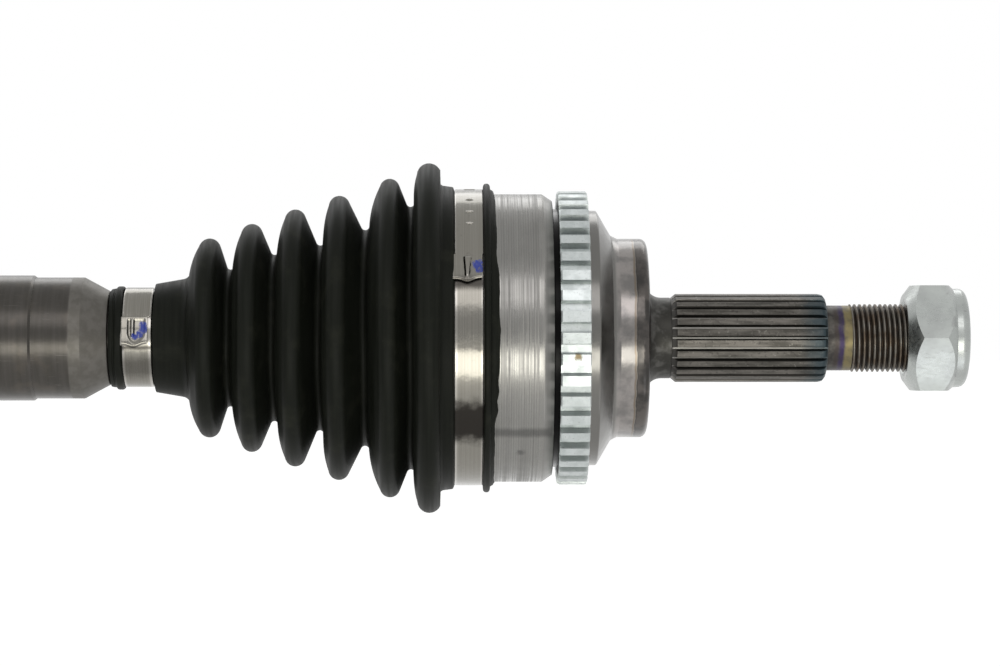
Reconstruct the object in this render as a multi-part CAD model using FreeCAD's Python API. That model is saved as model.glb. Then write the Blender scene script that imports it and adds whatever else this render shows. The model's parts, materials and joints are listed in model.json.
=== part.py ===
import FreeCAD, Part

import math
import os

from FreeCAD import Vector

# A front drive shaft, lying along X: +X towards the wheel, -X towards the gearbox, +Z up.
# X = 0 is the shoulder face that the wheel hub bears on. All sizes are in millimetres.
# A corner of a turned outline is (x, radius) or (x, radius, rounding).

# Stub axle on the wheel side
STUB_SPLINE_TEETH = 25
STUB_SPLINE_TIP_R = 12.85
STUB_SPLINE_DEPTH = 1.15
STUB_SPLINE_ROOT_R = STUB_SPLINE_TIP_R - STUB_SPLINE_DEPTH
STUB_SPLINE_START = 7.0
STUB_SPLINE_END = 52.3
STUB_NECK_R = STUB_SPLINE_ROOT_R + 0.1
THREAD_R = 9.9
THREAD_PITCH = 1.5
THREAD_DEPTH = 0.92
THREAD_NECK_R = THREAD_R - 0.4
THREAD_START = STUB_SPLINE_END + 7.3
THREAD_END = 87.5

# Bar of the shaft, with a spline at each end
BAR_R = 12.0
BAR_SPLINE_TEETH = 24
BAR_SPLINE_DEPTH = 0.9
BAR_SPLINE_TIP_R = BAR_R - 0.2
BAR_SPLINE_ROOT_R = BAR_SPLINE_TIP_R - BAR_SPLINE_DEPTH
SPLINE_CLEARANCE = 0.05
BAR_STOP_R = BAR_R + 1.0
BOOT_NECK_SEAT_R = BAR_R - 0.4

# Balls, cage and inner race of the outer joint
JOINT_X = -38.0
BALL_R = 15.875 / 2
BALL_COUNT = 6
TRACK_CLEARANCE = 0.85
RACE_WALL = 7.9125
BALL_PITCH_R = BAR_SPLINE_TIP_R + RACE_WALL + TRACK_CLEARANCE + BALL_R
CAGE_OUTER_R = BALL_PITCH_R + 3.3
CAGE_WALL = 5.5
CAGE_INNER_R = CAGE_OUTER_R - CAGE_WALL
CAGE_CLEARANCE = 0.3
CAGE_HALF = 15.0
WINDOW_CLEARANCE = 0.08
WINDOW_WIDTH = 2 * BALL_R + 2.525
RACE_R = CAGE_INNER_R - CAGE_CLEARANCE
RACE_HALF = 13.5

# Bell of the outer joint
BELL_BORE_R = CAGE_OUTER_R + CAGE_CLEARANCE
BELL_WALL = 8.2
BELL_MOUTH_X = JOINT_X - 19.5
BELL_FLOOR_X = JOINT_X + 26.5
MOUTH_CONE_X = JOINT_X - 13.0
MOUTH_CONE_R = BELL_BORE_R + 3.9
BOOT_SEAT_R = BELL_BORE_R + BELL_WALL
BOOT_SEAT_LENGTH = 12.3
BOOT_STEP_X = BELL_MOUTH_X + BOOT_SEAT_LENGTH
BOOT_STEP = 1.7
BELL_R = BOOT_SEAT_R + BOOT_STEP
TONE_SEAT_STEP = 4.3
TONE_SEAT_R = BELL_R - TONE_SEAT_STEP
TONE_SEAT_START = -27.5
TONE_SEAT_WIDTH = 10.1
TONE_SEAT_END = TONE_SEAT_START + TONE_SEAT_WIDTH
SHOULDER_R = TONE_SEAT_R - 0.5
SEAL_R = 29.0
SEAL_START = -8.4

# Toothed wheel for the speed sensor
TONE_TEETH = 44
TONE_RIM = 3.0
TONE_TOOTH_HEIGHT = 2.15
TONE_ROOT_R = TONE_SEAT_R + TONE_RIM
TONE_TIP_R = TONE_ROOT_R + TONE_TOOTH_HEIGHT
TONE_START = TONE_SEAT_START + 1.6

# Hub nut
NUT_START = 75.4
NUT_HEX_LENGTH = 14.0
NUT_HEX_END = NUT_START + NUT_HEX_LENGTH
NUT_COLLAR_LENGTH = 3.9
NUT_END = NUT_HEX_END + NUT_COLLAR_LENGTH
NUT_ACROSS_FLATS = 30.6
NUT_BORE_R = THREAD_R + 0.1
LOCK_RING_R = NUT_BORE_R + 2.0
NUT_COLLAR_R = LOCK_RING_R + 2.4

# Ends and tube of the shaft
CONE_SMALL_R = BAR_R + 1.6
OUTER_CONE_X = -156.1
CONE_LENGTH = 7.6
WELD_LAND = 14.1
TUBE_R = 18.3
TUBE_WALL = 4.0
CONE_LARGE_R = TUBE_R - 0.6
WELD_BORE_R = TUBE_R - TUBE_WALL - 1.8
INNER_CONE_X = -299.0

# Spider, needles and rollers of the inner joint
TRIPOD_X = -400.0
PLUNGE = 12.0
TRUNNION_COUNT = 3
TRUNNION_R = 8.4
TRUNNION_BOSS = 1.6
SPIDER_HALF = TRUNNION_R + TRUNNION_BOSS
SPIDER_R = 15.3
NEEDLE_R = 1.2
NEEDLE_CLEARANCE = 0.05
NEEDLE_PITCH_R = TRUNNION_R + NEEDLE_R + NEEDLE_CLEARANCE
NEEDLE_COUNT = int(math.pi * NEEDLE_PITCH_R / (1.05 * NEEDLE_R))
ROLLER_WALL = 3.6
ROLLER_BORE_R = NEEDLE_PITCH_R + NEEDLE_R + NEEDLE_CLEARANCE
ROLLER_R = ROLLER_BORE_R + ROLLER_WALL
ROLLER_WIDTH = 9.0
ROLLER_PITCH_R = SPIDER_R + 1.2 + ROLLER_WIDTH / 2
ROLLER_CLEARANCE = 0.8
TRUNNION_TIP = ROLLER_PITCH_R + ROLLER_WIDTH / 2 + 1.5

# Thrust cup and housing of the inner joint
NOSE_DOME_R = SPIDER_HALF + 8.0
NOSE_R = BAR_SPLINE_ROOT_R - 1.9
CUP_CLEARANCE = 0.15
CUP_R = NOSE_R + 1.5
CUP_BACK = NOSE_DOME_R + 2.5
SPRING_WIRE_R = 0.9
SPRING_ROOM = 5.5
HOUSING_MOUTH = SPIDER_HALF + PLUNGE
HOUSING_DEPTH = CUP_BACK + PLUNGE + SPRING_ROOM
HOUSING_BORE_R = SPIDER_R + 3.7
HOUSING_LOBE_REACH = TRUNNION_TIP + 2.0
HOUSING_WALL = 6.0
HOUSING_R = HOUSING_LOBE_REACH + HOUSING_WALL
HOUSING_FLARE_R = HOUSING_BORE_R + 5.6
HOUSING_FLARE_LENGTH = 16.0
HOUSING_FLOOR = 12.0
HOUSING_BACK = HOUSING_DEPTH + HOUSING_FLOOR
GEAR_SEAL_R = 20.0
GEAR_SEAL_LENGTH = 16.0
GEAR_NECK_LENGTH = 4.0
GEAR_SPLINE_TEETH = 26
GEAR_SPLINE_TIP_R = 14.0
GEAR_SPLINE_DEPTH = 1.1
GEAR_SPLINE_ROOT_R = GEAR_SPLINE_TIP_R - GEAR_SPLINE_DEPTH
GEAR_SPLINE_LENGTH = 33.0
GEAR_PILOT_LENGTH = 4.0
GEAR_PILOT_R = GEAR_SPLINE_ROOT_R - 1.1

# Boots and clamps
BOOT_WALL = 2.2
BOOT_GAP = 0.3
SEAT_GAP = 0.1
COLLAR_WALL = 2.55
COLLAR_BEAD = 1.75
NECK_WALL = 1.65
NECK_BEAD = 1.55
CLAMP_GAP = 0.1
CLAMP_THICKNESS = 0.75
CLAMP_WIDTH = 8.3
LARGE_CLAMP_END = 157.5
SMALL_CLAMP_END = 186.0
OUTER_CLAMP_X = BOOT_STEP_X - 2.3 - CLAMP_WIDTH
OUTER_CLAMP_R = BOOT_SEAT_R + COLLAR_WALL + CLAMP_GAP + CLAMP_THICKNESS
OUTER_SMALL_CLAMP_X = OUTER_CONE_X + 4.4
OUTER_NECK_X = OUTER_SMALL_CLAMP_X + CLAMP_WIDTH + 0.8
INNER_CLAMP_X = TRIPOD_X + HOUSING_MOUTH - 2.7 - CLAMP_WIDTH
INNER_CLAMP_R = HOUSING_R + COLLAR_WALL + CLAMP_GAP + CLAMP_THICKNESS
INNER_SMALL_CLAMP_X = INNER_CONE_X - 4.3 - CLAMP_WIDTH
INNER_NECK_X = INNER_SMALL_CLAMP_X - 1.8
SMALL_CLAMP_R = BOOT_NECK_SEAT_R + BOOT_GAP + NECK_WALL + CLAMP_GAP + CLAMP_THICKNESS

# Folds from the large collar to the neck: share of the way, height over the straight line
# between the two, rounding, and side (1 for a crest, -1 for a root).
OUTER_FOLDS = [
    (0.042, 10.0, 3.5, 1), (0.107, -1.0, 1.2, -1), (0.181, 9.1, 3.0, 1), (0.268, -3.6, 1.2, -1),
    (0.358, 8.8, 3.0, 1), (0.425, -3.9, 1.2, -1), (0.512, 8.9, 3.0, 1), (0.586, -2.4, 1.2, -1),
    (0.666, 8.7, 3.0, 1), (0.743, -2.6, 1.2, -1), (0.816, 8.4, 3.0, 1), (0.913, -0.9, 2.7, -1),
]
INNER_FOLDS = [
    (0.074, 5.7, 2.9, 1), (0.173, 0.8, 1.2, -1), (0.272, 9.5, 2.9, 1), (0.371, 4.6, 1.2, -1),
    (0.470, 12.3, 2.9, 1), (0.566, 6.3, 1.2, -1), (0.663, 11.9, 2.9, 1), (0.752, 2.9, 1.2, -1),
    (0.837, 8.7, 2.9, 1), (0.924, -0.2, 2.4, -1),
]

ORIGIN = Vector(0, 0, 0)
ALONG = Vector(1, 0, 0)
TILT_AXIS = Vector(0, 1, 0)
JOINT_CENTRE = Vector(JOINT_X, 0, 0)
TRIPOD_CENTRE = Vector(TRIPOD_X, 0, 0)


def unit(vector):
    return vector * (1 / vector.Length)


def radial(degrees):
    """The direction away from the X axis, 0 along +Y and 90 along +Z."""
    angle = math.radians(degrees)
    return Vector(0, math.cos(angle), math.sin(angle))


def rounded_corner(before, here, after, rounding):
    """Where a rounded corner starts, its middle and where it ends."""
    back = unit(before - here)
    ahead = unit(after - here)
    half = back.getAngle(ahead) / 2
    reach = rounding / math.tan(half)
    middle = here + unit(back + ahead) * (rounding / math.sin(half) - rounding)
    return here + back * reach, middle, here + ahead * reach


def turned(corners):
    """A solid turned about the X axis from a closed outline."""
    points = [Vector(corner[0], 0, corner[1]) for corner in corners]
    ends = []
    for i, corner in enumerate(corners):
        if len(corner) == 2:
            ends.append((points[i], None, points[i]))
        else:
            after = points[(i + 1) % len(points)]
            ends.append(rounded_corner(points[i - 1], points[i], after, corner[2]))
    edges = []
    for i, (start, middle, end) in enumerate(ends):
        if middle is not None:
            edges.append(Part.Arc(start, middle, end).toShape())
        following = ends[(i + 1) % len(ends)][0]
        if (following - end).Length > 1e-6:
            edges.append(Part.makeLine(end, following))
    return Part.Face(Part.Wire(edges)).revolve(ORIGIN, ALONG, 360)


def ring(start, end, inner, outer):
    """A plain ring about the X axis."""
    return turned([(start, inner), (start, outer), (end, outer), (end, inner)])


def cylinder(start, end, radius):
    return Part.makeCylinder(radius, end - start, Vector(start, 0, 0), ALONG)


def around(shape, count, phase=0.0):
    """Copies of a shape spread evenly about the X axis."""
    copies = []
    for i in range(count):
        copy = shape.copy()
        copy.rotate(ORIGIN, ALONG, phase + 360 * i / count)
        copies.append(copy)
    return copies


def toothed_bar(teeth, root, tip, start, end, root_share=0.7, tip_share=0.36, grow=0.0):
    """A bar along X with straight teeth. grow makes it larger all round, for its hole."""
    pitch = 2 * math.pi / teeth
    corners = []
    for i in range(teeth):
        for share, radius in ((-root_share, root), (-tip_share, tip), (tip_share, tip), (root_share, root)):
            side = math.copysign(grow / radius, share)
            angle = pitch * (i + share / 2) + side
            reach = radius + grow
            corners.append(Vector(start, reach * math.cos(angle), reach * math.sin(angle)))
    outline = Part.makePolygon(corners + corners[:1])
    return Part.Face(outline).extrude(Vector(end - start, 0, 0))


def chamfered_bar(bar, start, end, tip, chamfer):
    """A toothed bar with its teeth chamfered at both ends."""
    low = tip - 1.25 * chamfer
    limit = turned([
        (start, 0), (start, low), (start + 1.6 * chamfer, tip + 0.05),
        (end - chamfer, tip + 0.05), (end, low), (end, 0),
    ])
    return bar.common(limit)


def open_ring(start, end, inner, outer, gap_degrees):
    """A spring clip: a ring with a gap at the top."""
    gap = Part.makeBox(
        end - start + 2, 2 * outer * math.sin(math.radians(gap_degrees / 2)), 2 * outer,
        Vector(start - 1, -outer * math.sin(math.radians(gap_degrees / 2)), 0),
    )
    return ring(start, end, inner, outer).cut(gap)


def centre_drilling(x, direction):
    """The small conical hole that a lathe centre leaves in a shaft's end."""
    cone = Part.makeCone(3.4, 0.8, 4.5, Vector(x + 0.01 * direction, 0, 0), Vector(-direction, 0, 0))
    drill = Part.makeCylinder(1.4, 8.0, Vector(x, 0, 0), Vector(-direction, 0, 0))
    return cone.fuse(drill)


def thread_groove(start, end):
    """The V groove of the hub thread, swept along a right-hand helix about X."""
    past = THREAD_PITCH
    helix = Part.makeLongHelix(THREAD_PITCH, end - start + 2 * past, THREAD_R, 0)
    root = THREAD_R - THREAD_DEPTH
    outside = THREAD_R + 0.1
    half_root = 0.09
    half_open = half_root + (outside - root) * math.tan(math.radians(30))
    groove = Part.makePolygon([
        Vector(root, 0, -half_root), Vector(outside, 0, -half_open), Vector(outside, 0, half_open),
        Vector(root, 0, half_root), Vector(root, 0, -half_root),
    ])
    sweep = Part.Wire(helix).makePipeShell([groove], True, True)
    sweep.rotate(ORIGIN, Vector(0, 1, 0), 90)
    sweep.translate(Vector(start - past, 0, 0))
    return sweep.reversed()


def stub_axle():
    """Splined and threaded stub that passes through the wheel hub."""
    spline = toothed_bar(
        STUB_SPLINE_TEETH, STUB_SPLINE_ROOT_R, STUB_SPLINE_TIP_R, STUB_SPLINE_START, STUB_SPLINE_END,
        0.84, 0.58,
    )
    spline = chamfered_bar(spline, STUB_SPLINE_START, STUB_SPLINE_END, STUB_SPLINE_TIP_R, 1.1)
    spline = spline.common(turned([
        (STUB_SPLINE_START, 0), (STUB_SPLINE_START, STUB_SPLINE_TIP_R + 1),
        (STUB_SPLINE_END - 2.4, STUB_SPLINE_TIP_R + 1), (STUB_SPLINE_END - 2.4, STUB_SPLINE_TIP_R + 0.05),
        (STUB_SPLINE_END - 0.4, STUB_SPLINE_TIP_R - 0.35, 1.4), (STUB_SPLINE_END, STUB_NECK_R - 0.6),
        (STUB_SPLINE_END, 0),
    ]))
    neck = turned([
        (STUB_SPLINE_END - 1, 0), (STUB_SPLINE_END - 1, THREAD_NECK_R), (THREAD_START, THREAD_NECK_R),
        (THREAD_START, 0),
    ])
    thread = turned([
        (THREAD_START, 0), (THREAD_START, THREAD_R), (THREAD_END - 1.3, THREAD_R),
        (THREAD_END, THREAD_R - 1.3), (THREAD_END, 0),
    ])
    thread = thread.cut(thread_groove(THREAD_START, THREAD_END))
    return spline.fuse([neck, thread]).cut(centre_drilling(THREAD_END, 1))


def ball_track(from_degrees, to_degrees):
    """The groove that one ball rolls in, above the joint centre. Degrees run from +Z to +X."""
    angle = math.radians(from_degrees)
    place = JOINT_CENTRE + Vector(math.sin(angle), 0, math.cos(angle)) * BALL_PITCH_R
    facing = Vector(math.cos(angle), 0, -math.sin(angle))
    circle = Part.makeCircle(BALL_R + TRACK_CLEARANCE, place, facing)
    return Part.Face(Part.Wire(circle)).revolve(JOINT_CENTRE, TILT_AXIS, to_degrees - from_degrees)


def joint_bell():
    """Outer race of the ball joint and the stub axle, forged and turned as one piece."""
    outside = turned([
        (BELL_MOUTH_X, 0),
        (BELL_MOUTH_X, BOOT_SEAT_R - 1),
        (BELL_MOUTH_X + 1, BOOT_SEAT_R),
        (BOOT_STEP_X, BOOT_SEAT_R),
        (BOOT_STEP_X, BELL_R, 0.5),
        (TONE_SEAT_START - 2.9, BELL_R, 0.8),
        (TONE_SEAT_START, BELL_R - 1.95),
        (TONE_SEAT_START, TONE_SEAT_R),
        (TONE_SEAT_END, TONE_SEAT_R),
        (TONE_SEAT_END, SHOULDER_R),
        (TONE_SEAT_END + 2.8, SHOULDER_R, 0.6),
        (SEAL_START - 2.0, SEAL_R + 0.95, 1.2),
        (SEAL_START, SEAL_R),
        (0, SEAL_R, 2.0),
        (0, STUB_NECK_R, 4.5),
        (STUB_SPLINE_START, STUB_NECK_R),
        (STUB_SPLINE_START, 0),
    ])
    bore = Part.makeSphere(BELL_BORE_R, JOINT_CENTRE)
    bore = bore.common(cylinder(BELL_MOUTH_X, BELL_FLOOR_X, BELL_R))
    cone_length = MOUTH_CONE_X - BELL_MOUTH_X
    bore_at_cone = math.sqrt(BELL_BORE_R**2 - (MOUTH_CONE_X - JOINT_X) ** 2)
    slope = (MOUTH_CONE_R - bore_at_cone) / cone_length
    mouth = Part.makeCone(
        bore_at_cone - slope, MOUTH_CONE_R + slope, cone_length + 2,
        Vector(MOUTH_CONE_X + 1, 0, 0), Vector(-1, 0, 0),
    )
    track_end = math.radians(24)
    last_place = JOINT_CENTRE + Vector(math.sin(track_end), 0, math.cos(track_end)) * BALL_PITCH_R
    track = ball_track(-60, 24).fuse(Part.makeSphere(BALL_R + TRACK_CLEARANCE, last_place))
    bell = outside.cut(bore).cut(mouth).cut(around(track, BALL_COUNT))
    return bell.fuse(stub_axle())


def ball_cage():
    """Cage that holds the balls in one plane, with a rounded window for each ball."""
    shell = Part.makeSphere(CAGE_OUTER_R, JOINT_CENTRE).cut(Part.makeSphere(CAGE_INNER_R, JOINT_CENTRE))
    cage = shell.common(cylinder(JOINT_X - CAGE_HALF, JOINT_X + CAGE_HALF, CAGE_OUTER_R + 1))
    half = BALL_R + WINDOW_CLEARANCE
    window = Part.makeBox(
        2 * half, WINDOW_WIDTH, CAGE_OUTER_R, Vector(JOINT_X - half, -WINDOW_WIDTH / 2, CAGE_INNER_R / 2)
    )
    upright = [e for e in window.Edges if abs(e.Vertexes[0].Z - e.Vertexes[-1].Z) > 1]
    window = window.makeFillet(3.0, upright)
    return cage.cut(around(window, BALL_COUNT))


def joint_balls():
    ball = Part.makeSphere(BALL_R, JOINT_CENTRE + Vector(0, 0, BALL_PITCH_R))
    return Part.makeCompound(around(ball, BALL_COUNT))


def inner_race():
    """Star-shaped inner race with a groove for each ball and a splined bore."""
    body = Part.makeSphere(RACE_R, JOINT_CENTRE)
    body = body.common(cylinder(JOINT_X - RACE_HALF, JOINT_X + RACE_HALF, RACE_R))
    bore = toothed_bar(
        BAR_SPLINE_TEETH, BAR_SPLINE_ROOT_R, BAR_SPLINE_TIP_R,
        JOINT_X - RACE_HALF - 1, JOINT_X + RACE_HALF + 1, grow=SPLINE_CLEARANCE,
    )
    # One ring-shaped groove serves two balls that lie opposite each other.
    rings = []
    for i in range(BALL_COUNT // 2):
        axis = radial(180 * i / (BALL_COUNT // 2))
        rings.append(Part.makeTorus(BALL_PITCH_R, BALL_R + TRACK_CLEARANCE, JOINT_CENTRE, axis))
    return body.cut(bore).cut(rings)


def tone_ring():
    """Toothed wheel that the wheel speed sensor reads."""
    teeth = toothed_bar(TONE_TEETH, TONE_ROOT_R, TONE_TIP_R, TONE_START, TONE_SEAT_END, 0.62, 0.5)
    teeth = chamfered_bar(teeth, TONE_START, TONE_SEAT_END, TONE_TIP_R, 0.3)
    return teeth.cut(cylinder(TONE_START - 1, TONE_SEAT_END + 1, TONE_SEAT_R + 0.02))


def hub_nut():
    """Self-locking hub nut: chamfered hexagon with a round collar for the locking ring."""
    corner_r = NUT_ACROSS_FLATS / math.sqrt(3)
    corners = [Vector(NUT_START, 0, 0) + radial(60 * i) * corner_r for i in range(7)]
    hexagon = Part.Face(Part.makePolygon(corners)).extrude(Vector(NUT_HEX_END - NUT_START, 0, 0))
    flat_r = NUT_ACROSS_FLATS / 2
    limit = turned([
        (NUT_START, 0), (NUT_START, flat_r - 2.6), (NUT_START + 3.9, corner_r + 0.1),
        (NUT_HEX_END - 3.4, corner_r + 0.1), (NUT_HEX_END, flat_r - 0.7), (NUT_HEX_END, 0),
    ])
    collar = turned([
        (NUT_HEX_END - 1, 0), (NUT_HEX_END - 1, NUT_COLLAR_R), (NUT_END, NUT_COLLAR_R, 2.3), (NUT_END, 0),
    ])
    ring_seat = cylinder(NUT_HEX_END - 1.2, NUT_END - 0.9, LOCK_RING_R + 0.05)
    bore = turned([
        (NUT_START - 1, 0), (NUT_START - 1, NUT_BORE_R + 2.2), (NUT_START + 1.2, NUT_BORE_R),
        (NUT_HEX_END, NUT_BORE_R), (NUT_HEX_END, NUT_BORE_R + 0.9), (NUT_END + 1, NUT_BORE_R + 0.9),
        (NUT_END + 1, 0),
    ])
    return hexagon.common(limit).fuse(collar).cut(ring_seat).cut(bore)


def nut_lock_ring():
    """Nylon ring in the nut's collar that grips the thread."""
    return ring(NUT_HEX_END - 1.15, NUT_END - 0.95, NUT_BORE_R, LOCK_RING_R)


def shaft_outer_end():
    """Solid end of the shaft on the wheel side: spline, bar, boot seat, cone and weld land."""
    race_face = JOINT_X + RACE_HALF
    tip = race_face + 3.2
    spline = toothed_bar(
        BAR_SPLINE_TEETH, BAR_SPLINE_ROOT_R, BAR_SPLINE_TIP_R, JOINT_X - RACE_HALF - 0.1, tip
    )
    spline = chamfered_bar(spline, JOINT_X - RACE_HALF - 0.1, tip, BAR_SPLINE_TIP_R, 0.8)
    cone_end = OUTER_CONE_X - CONE_LENGTH
    weld = cone_end - WELD_LAND
    bar = turned([
        (JOINT_X - RACE_HALF - 0.1, 0),
        (JOINT_X - RACE_HALF - 0.1, BAR_STOP_R - 0.6),
        (JOINT_X - RACE_HALF - 0.7, BAR_STOP_R),
        (JOINT_X - RACE_HALF - 3.2, BAR_STOP_R),
        (JOINT_X - RACE_HALF - 5.0, BAR_R),
        (OUTER_NECK_X + 4.0, BAR_R),
        (OUTER_NECK_X + 3.6, BOOT_NECK_SEAT_R),
        (OUTER_CONE_X, BOOT_NECK_SEAT_R),
        (OUTER_CONE_X, CONE_SMALL_R, 0.5),
        (cone_end, CONE_LARGE_R, 0.6),
        (weld, CONE_LARGE_R),
        (weld, WELD_BORE_R),
        (weld + 6, WELD_BORE_R),
        (weld + 12, 0),
    ])
    groove = ring(race_face + 0.1, race_face + 1.5, BAR_SPLINE_ROOT_R - 0.6, BAR_SPLINE_TIP_R + 1)
    return bar.fuse(spline).cut(groove)


def race_circlip():
    """Clip that keeps the inner race on the shaft."""
    face = JOINT_X + RACE_HALF
    return open_ring(face + 0.1, face + 1.4, BAR_SPLINE_ROOT_R - 0.55, BAR_SPLINE_TIP_R + 1.1, 40)


def shaft_tube():
    """Middle tube, welded between the two solid shaft ends."""
    outer_weld = OUTER_CONE_X - CONE_LENGTH - WELD_LAND
    inner_weld = INNER_CONE_X + CONE_LENGTH + WELD_LAND
    inner = TUBE_R - TUBE_WALL
    return turned([
        (inner_weld, inner), (inner_weld, TUBE_R - 0.5), (inner_weld + 0.7, TUBE_R),
        (outer_weld - 0.7, TUBE_R), (outer_weld, TUBE_R - 0.5), (outer_weld, inner),
    ])


def shaft_inner_end():
    """Solid end of the shaft on the gearbox side, with a domed nose that the thrust cup rests on."""
    spider_face = TRIPOD_X + SPIDER_HALF
    clip_face = TRIPOD_X - SPIDER_HALF
    weld = INNER_CONE_X + CONE_LENGTH + WELD_LAND
    bar = turned([
        (weld, 0),
        (weld, CONE_LARGE_R),
        (INNER_CONE_X + CONE_LENGTH, CONE_LARGE_R, 0.6),
        (INNER_CONE_X, CONE_SMALL_R, 0.5),
        (INNER_CONE_X, BOOT_NECK_SEAT_R),
        (INNER_NECK_X - 2.6, BOOT_NECK_SEAT_R),
        (INNER_NECK_X - 3.0, BAR_R),
        (spider_face + 4.6, BAR_R),
        (spider_face + 3.2, BAR_STOP_R),
        (spider_face + 0.7, BAR_STOP_R),
        (spider_face + 0.1, BAR_STOP_R - 0.6),
        (spider_face + 0.1, 0),
    ])
    bore = turned([(weld + 1, 0), (weld + 1, WELD_BORE_R), (weld - 6, WELD_BORE_R), (weld - 12, 0)])
    spline = toothed_bar(
        BAR_SPLINE_TEETH, BAR_SPLINE_ROOT_R, BAR_SPLINE_TIP_R, clip_face - 1.9, spider_face + 0.1
    )
    spline = chamfered_bar(spline, clip_face - 1.9, spider_face + 0.1, BAR_SPLINE_TIP_R, 0.4)
    nose = cylinder(TRIPOD_X - NOSE_DOME_R, clip_face, NOSE_R)
    nose = nose.common(Part.makeSphere(NOSE_DOME_R, TRIPOD_CENTRE))
    groove = ring(clip_face - 1.4, clip_face - 0.1, BAR_SPLINE_ROOT_R - 0.6, BAR_SPLINE_TIP_R + 1)
    return bar.cut(bore).fuse([spline, nose]).cut(groove)


def spider_snap_ring():
    """Clip that keeps the spider on the shaft."""
    face = TRIPOD_X - SPIDER_HALF
    return open_ring(face - 1.35, face - 0.1, BAR_SPLINE_ROOT_R - 0.55, BAR_SPLINE_TIP_R + 0.9, 40)


def trunnion_cylinder(index, start, end, radius):
    """A cylinder along one arm of the spider, from start to end measured from the shaft's axis."""
    arm = radial(360 * index / TRUNNION_COUNT)
    return Part.makeCylinder(radius, end - start, TRIPOD_CENTRE + arm * start, arm)


def tripod_spider():
    """Three-armed spider with a splined hub. A clip groove runs round each arm near its tip."""
    spider = cylinder(TRIPOD_X - SPIDER_HALF, TRIPOD_X + SPIDER_HALF, SPIDER_R)
    for i in range(TRUNNION_COUNT):
        arm = trunnion_cylinder(i, 0, TRUNNION_TIP, TRUNNION_R)
        boss = trunnion_cylinder(i, 0, ROLLER_PITCH_R - ROLLER_WIDTH / 2 - 0.2, TRUNNION_R + TRUNNION_BOSS)
        spider = spider.fuse([arm, boss])
    for i in range(TRUNNION_COUNT):
        groove = trunnion_cylinder(i, TRUNNION_TIP - 0.9, TRUNNION_TIP - 0.3, TRUNNION_R + 1)
        groove = groove.cut(trunnion_cylinder(i, TRUNNION_TIP - 0.9, TRUNNION_TIP - 0.3, TRUNNION_R - 0.5))
        spider = spider.cut(groove)
    # The arms end flush with the hub's two faces.
    spider = spider.common(cylinder(TRIPOD_X - SPIDER_HALF, TRIPOD_X + SPIDER_HALF, TRUNNION_TIP + 2))
    bore = toothed_bar(
        BAR_SPLINE_TEETH, BAR_SPLINE_ROOT_R, BAR_SPLINE_TIP_R,
        TRIPOD_X - SPIDER_HALF - 1, TRIPOD_X + SPIDER_HALF + 1, grow=SPLINE_CLEARANCE,
    )
    return spider.cut(bore)


def needle_rollers():
    """The loose needles between each arm and its roller."""
    start = ROLLER_PITCH_R - ROLLER_WIDTH / 2 + 0.1
    needles = []
    for i in range(TRUNNION_COUNT):
        arm = radial(360 * i / TRUNNION_COUNT)
        for j in range(NEEDLE_COUNT):
            turn = 2 * math.pi * j / NEEDLE_COUNT
            side = ALONG * math.cos(turn) + ALONG.cross(arm) * math.sin(turn)
            place = TRIPOD_CENTRE + arm * start + side * NEEDLE_PITCH_R
            needles.append(Part.makeCylinder(NEEDLE_R, ROLLER_WIDTH - 0.2, place, arm))
    return Part.makeCompound(needles)


def roller(index):
    """One roller of the tripod, with a ball-shaped rim."""
    start = ROLLER_PITCH_R - ROLLER_WIDTH / 2
    arm = radial(360 * index / TRUNNION_COUNT)
    rim = Part.makeSphere(ROLLER_R, TRIPOD_CENTRE + arm * ROLLER_PITCH_R)
    rim = rim.common(trunnion_cylinder(index, start, start + ROLLER_WIDTH, ROLLER_R + 1))
    bore = trunnion_cylinder(index, start - 1, start + ROLLER_WIDTH + 1, ROLLER_BORE_R)
    return rim.cut(bore)


def roller_washers():
    """Thin washers that keep the needles and rollers on the arms."""
    start = ROLLER_PITCH_R + ROLLER_WIDTH / 2 + 0.1
    washers = []
    for i in range(TRUNNION_COUNT):
        washer = trunnion_cylinder(i, start, start + 0.45, TRUNNION_R + 2.1)
        washers.append(washer.cut(trunnion_cylinder(i, start - 1, start + 1, TRUNNION_R + 0.05)))
    return Part.makeCompound(washers)


def roller_clips():
    """Wire clips in the grooves of the arms."""
    start = TRUNNION_TIP - 0.88
    clips = []
    for i in range(TRUNNION_COUNT):
        clip = trunnion_cylinder(i, start, start + 0.56, TRUNNION_R + 0.9)
        clips.append(clip.cut(trunnion_cylinder(i, start - 1, start + 1, TRUNNION_R - 0.45)))
    return Part.makeCompound(clips)


def thrust_cup():
    """Cup that the shaft's domed nose rests in, pushed by the spring."""
    cup = turned([
        (TRIPOD_X - CUP_BACK, 0), (TRIPOD_X - CUP_BACK, CUP_R - 0.6), (TRIPOD_X - CUP_BACK + 0.6, CUP_R),
        (TRIPOD_X - NOSE_DOME_R + 2.6, CUP_R), (TRIPOD_X - NOSE_DOME_R + 2.6, 0),
    ])
    return cup.cut(Part.makeSphere(NOSE_DOME_R + CUP_CLEARANCE, TRIPOD_CENTRE))


def thrust_spring():
    """Conical spring between the thrust cup and the housing's floor."""
    cup_back = TRIPOD_X - CUP_BACK
    floor = TRIPOD_X - HOUSING_DEPTH
    height = cup_back - floor - 2 * SPRING_WIRE_R - 0.2
    small_r = CUP_R - 4.0
    large_r = CUP_R + 1.0
    lean = math.degrees(math.atan((large_r - small_r) / height))
    helix = Part.makeHelix(height / 3.5, height, large_r, -lean)
    start = Vector(large_r, 0, 0)
    wire = Part.Wire(Part.makeCircle(SPRING_WIRE_R, start, Vector(0, 1, 0)))
    spring = Part.Wire(helix).makePipeShell([wire], True, True)
    spring.rotate(ORIGIN, Vector(0, 1, 0), 90)
    spring.translate(Vector(floor + SPRING_WIRE_R + 0.1, 0, 0))
    return spring


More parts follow.
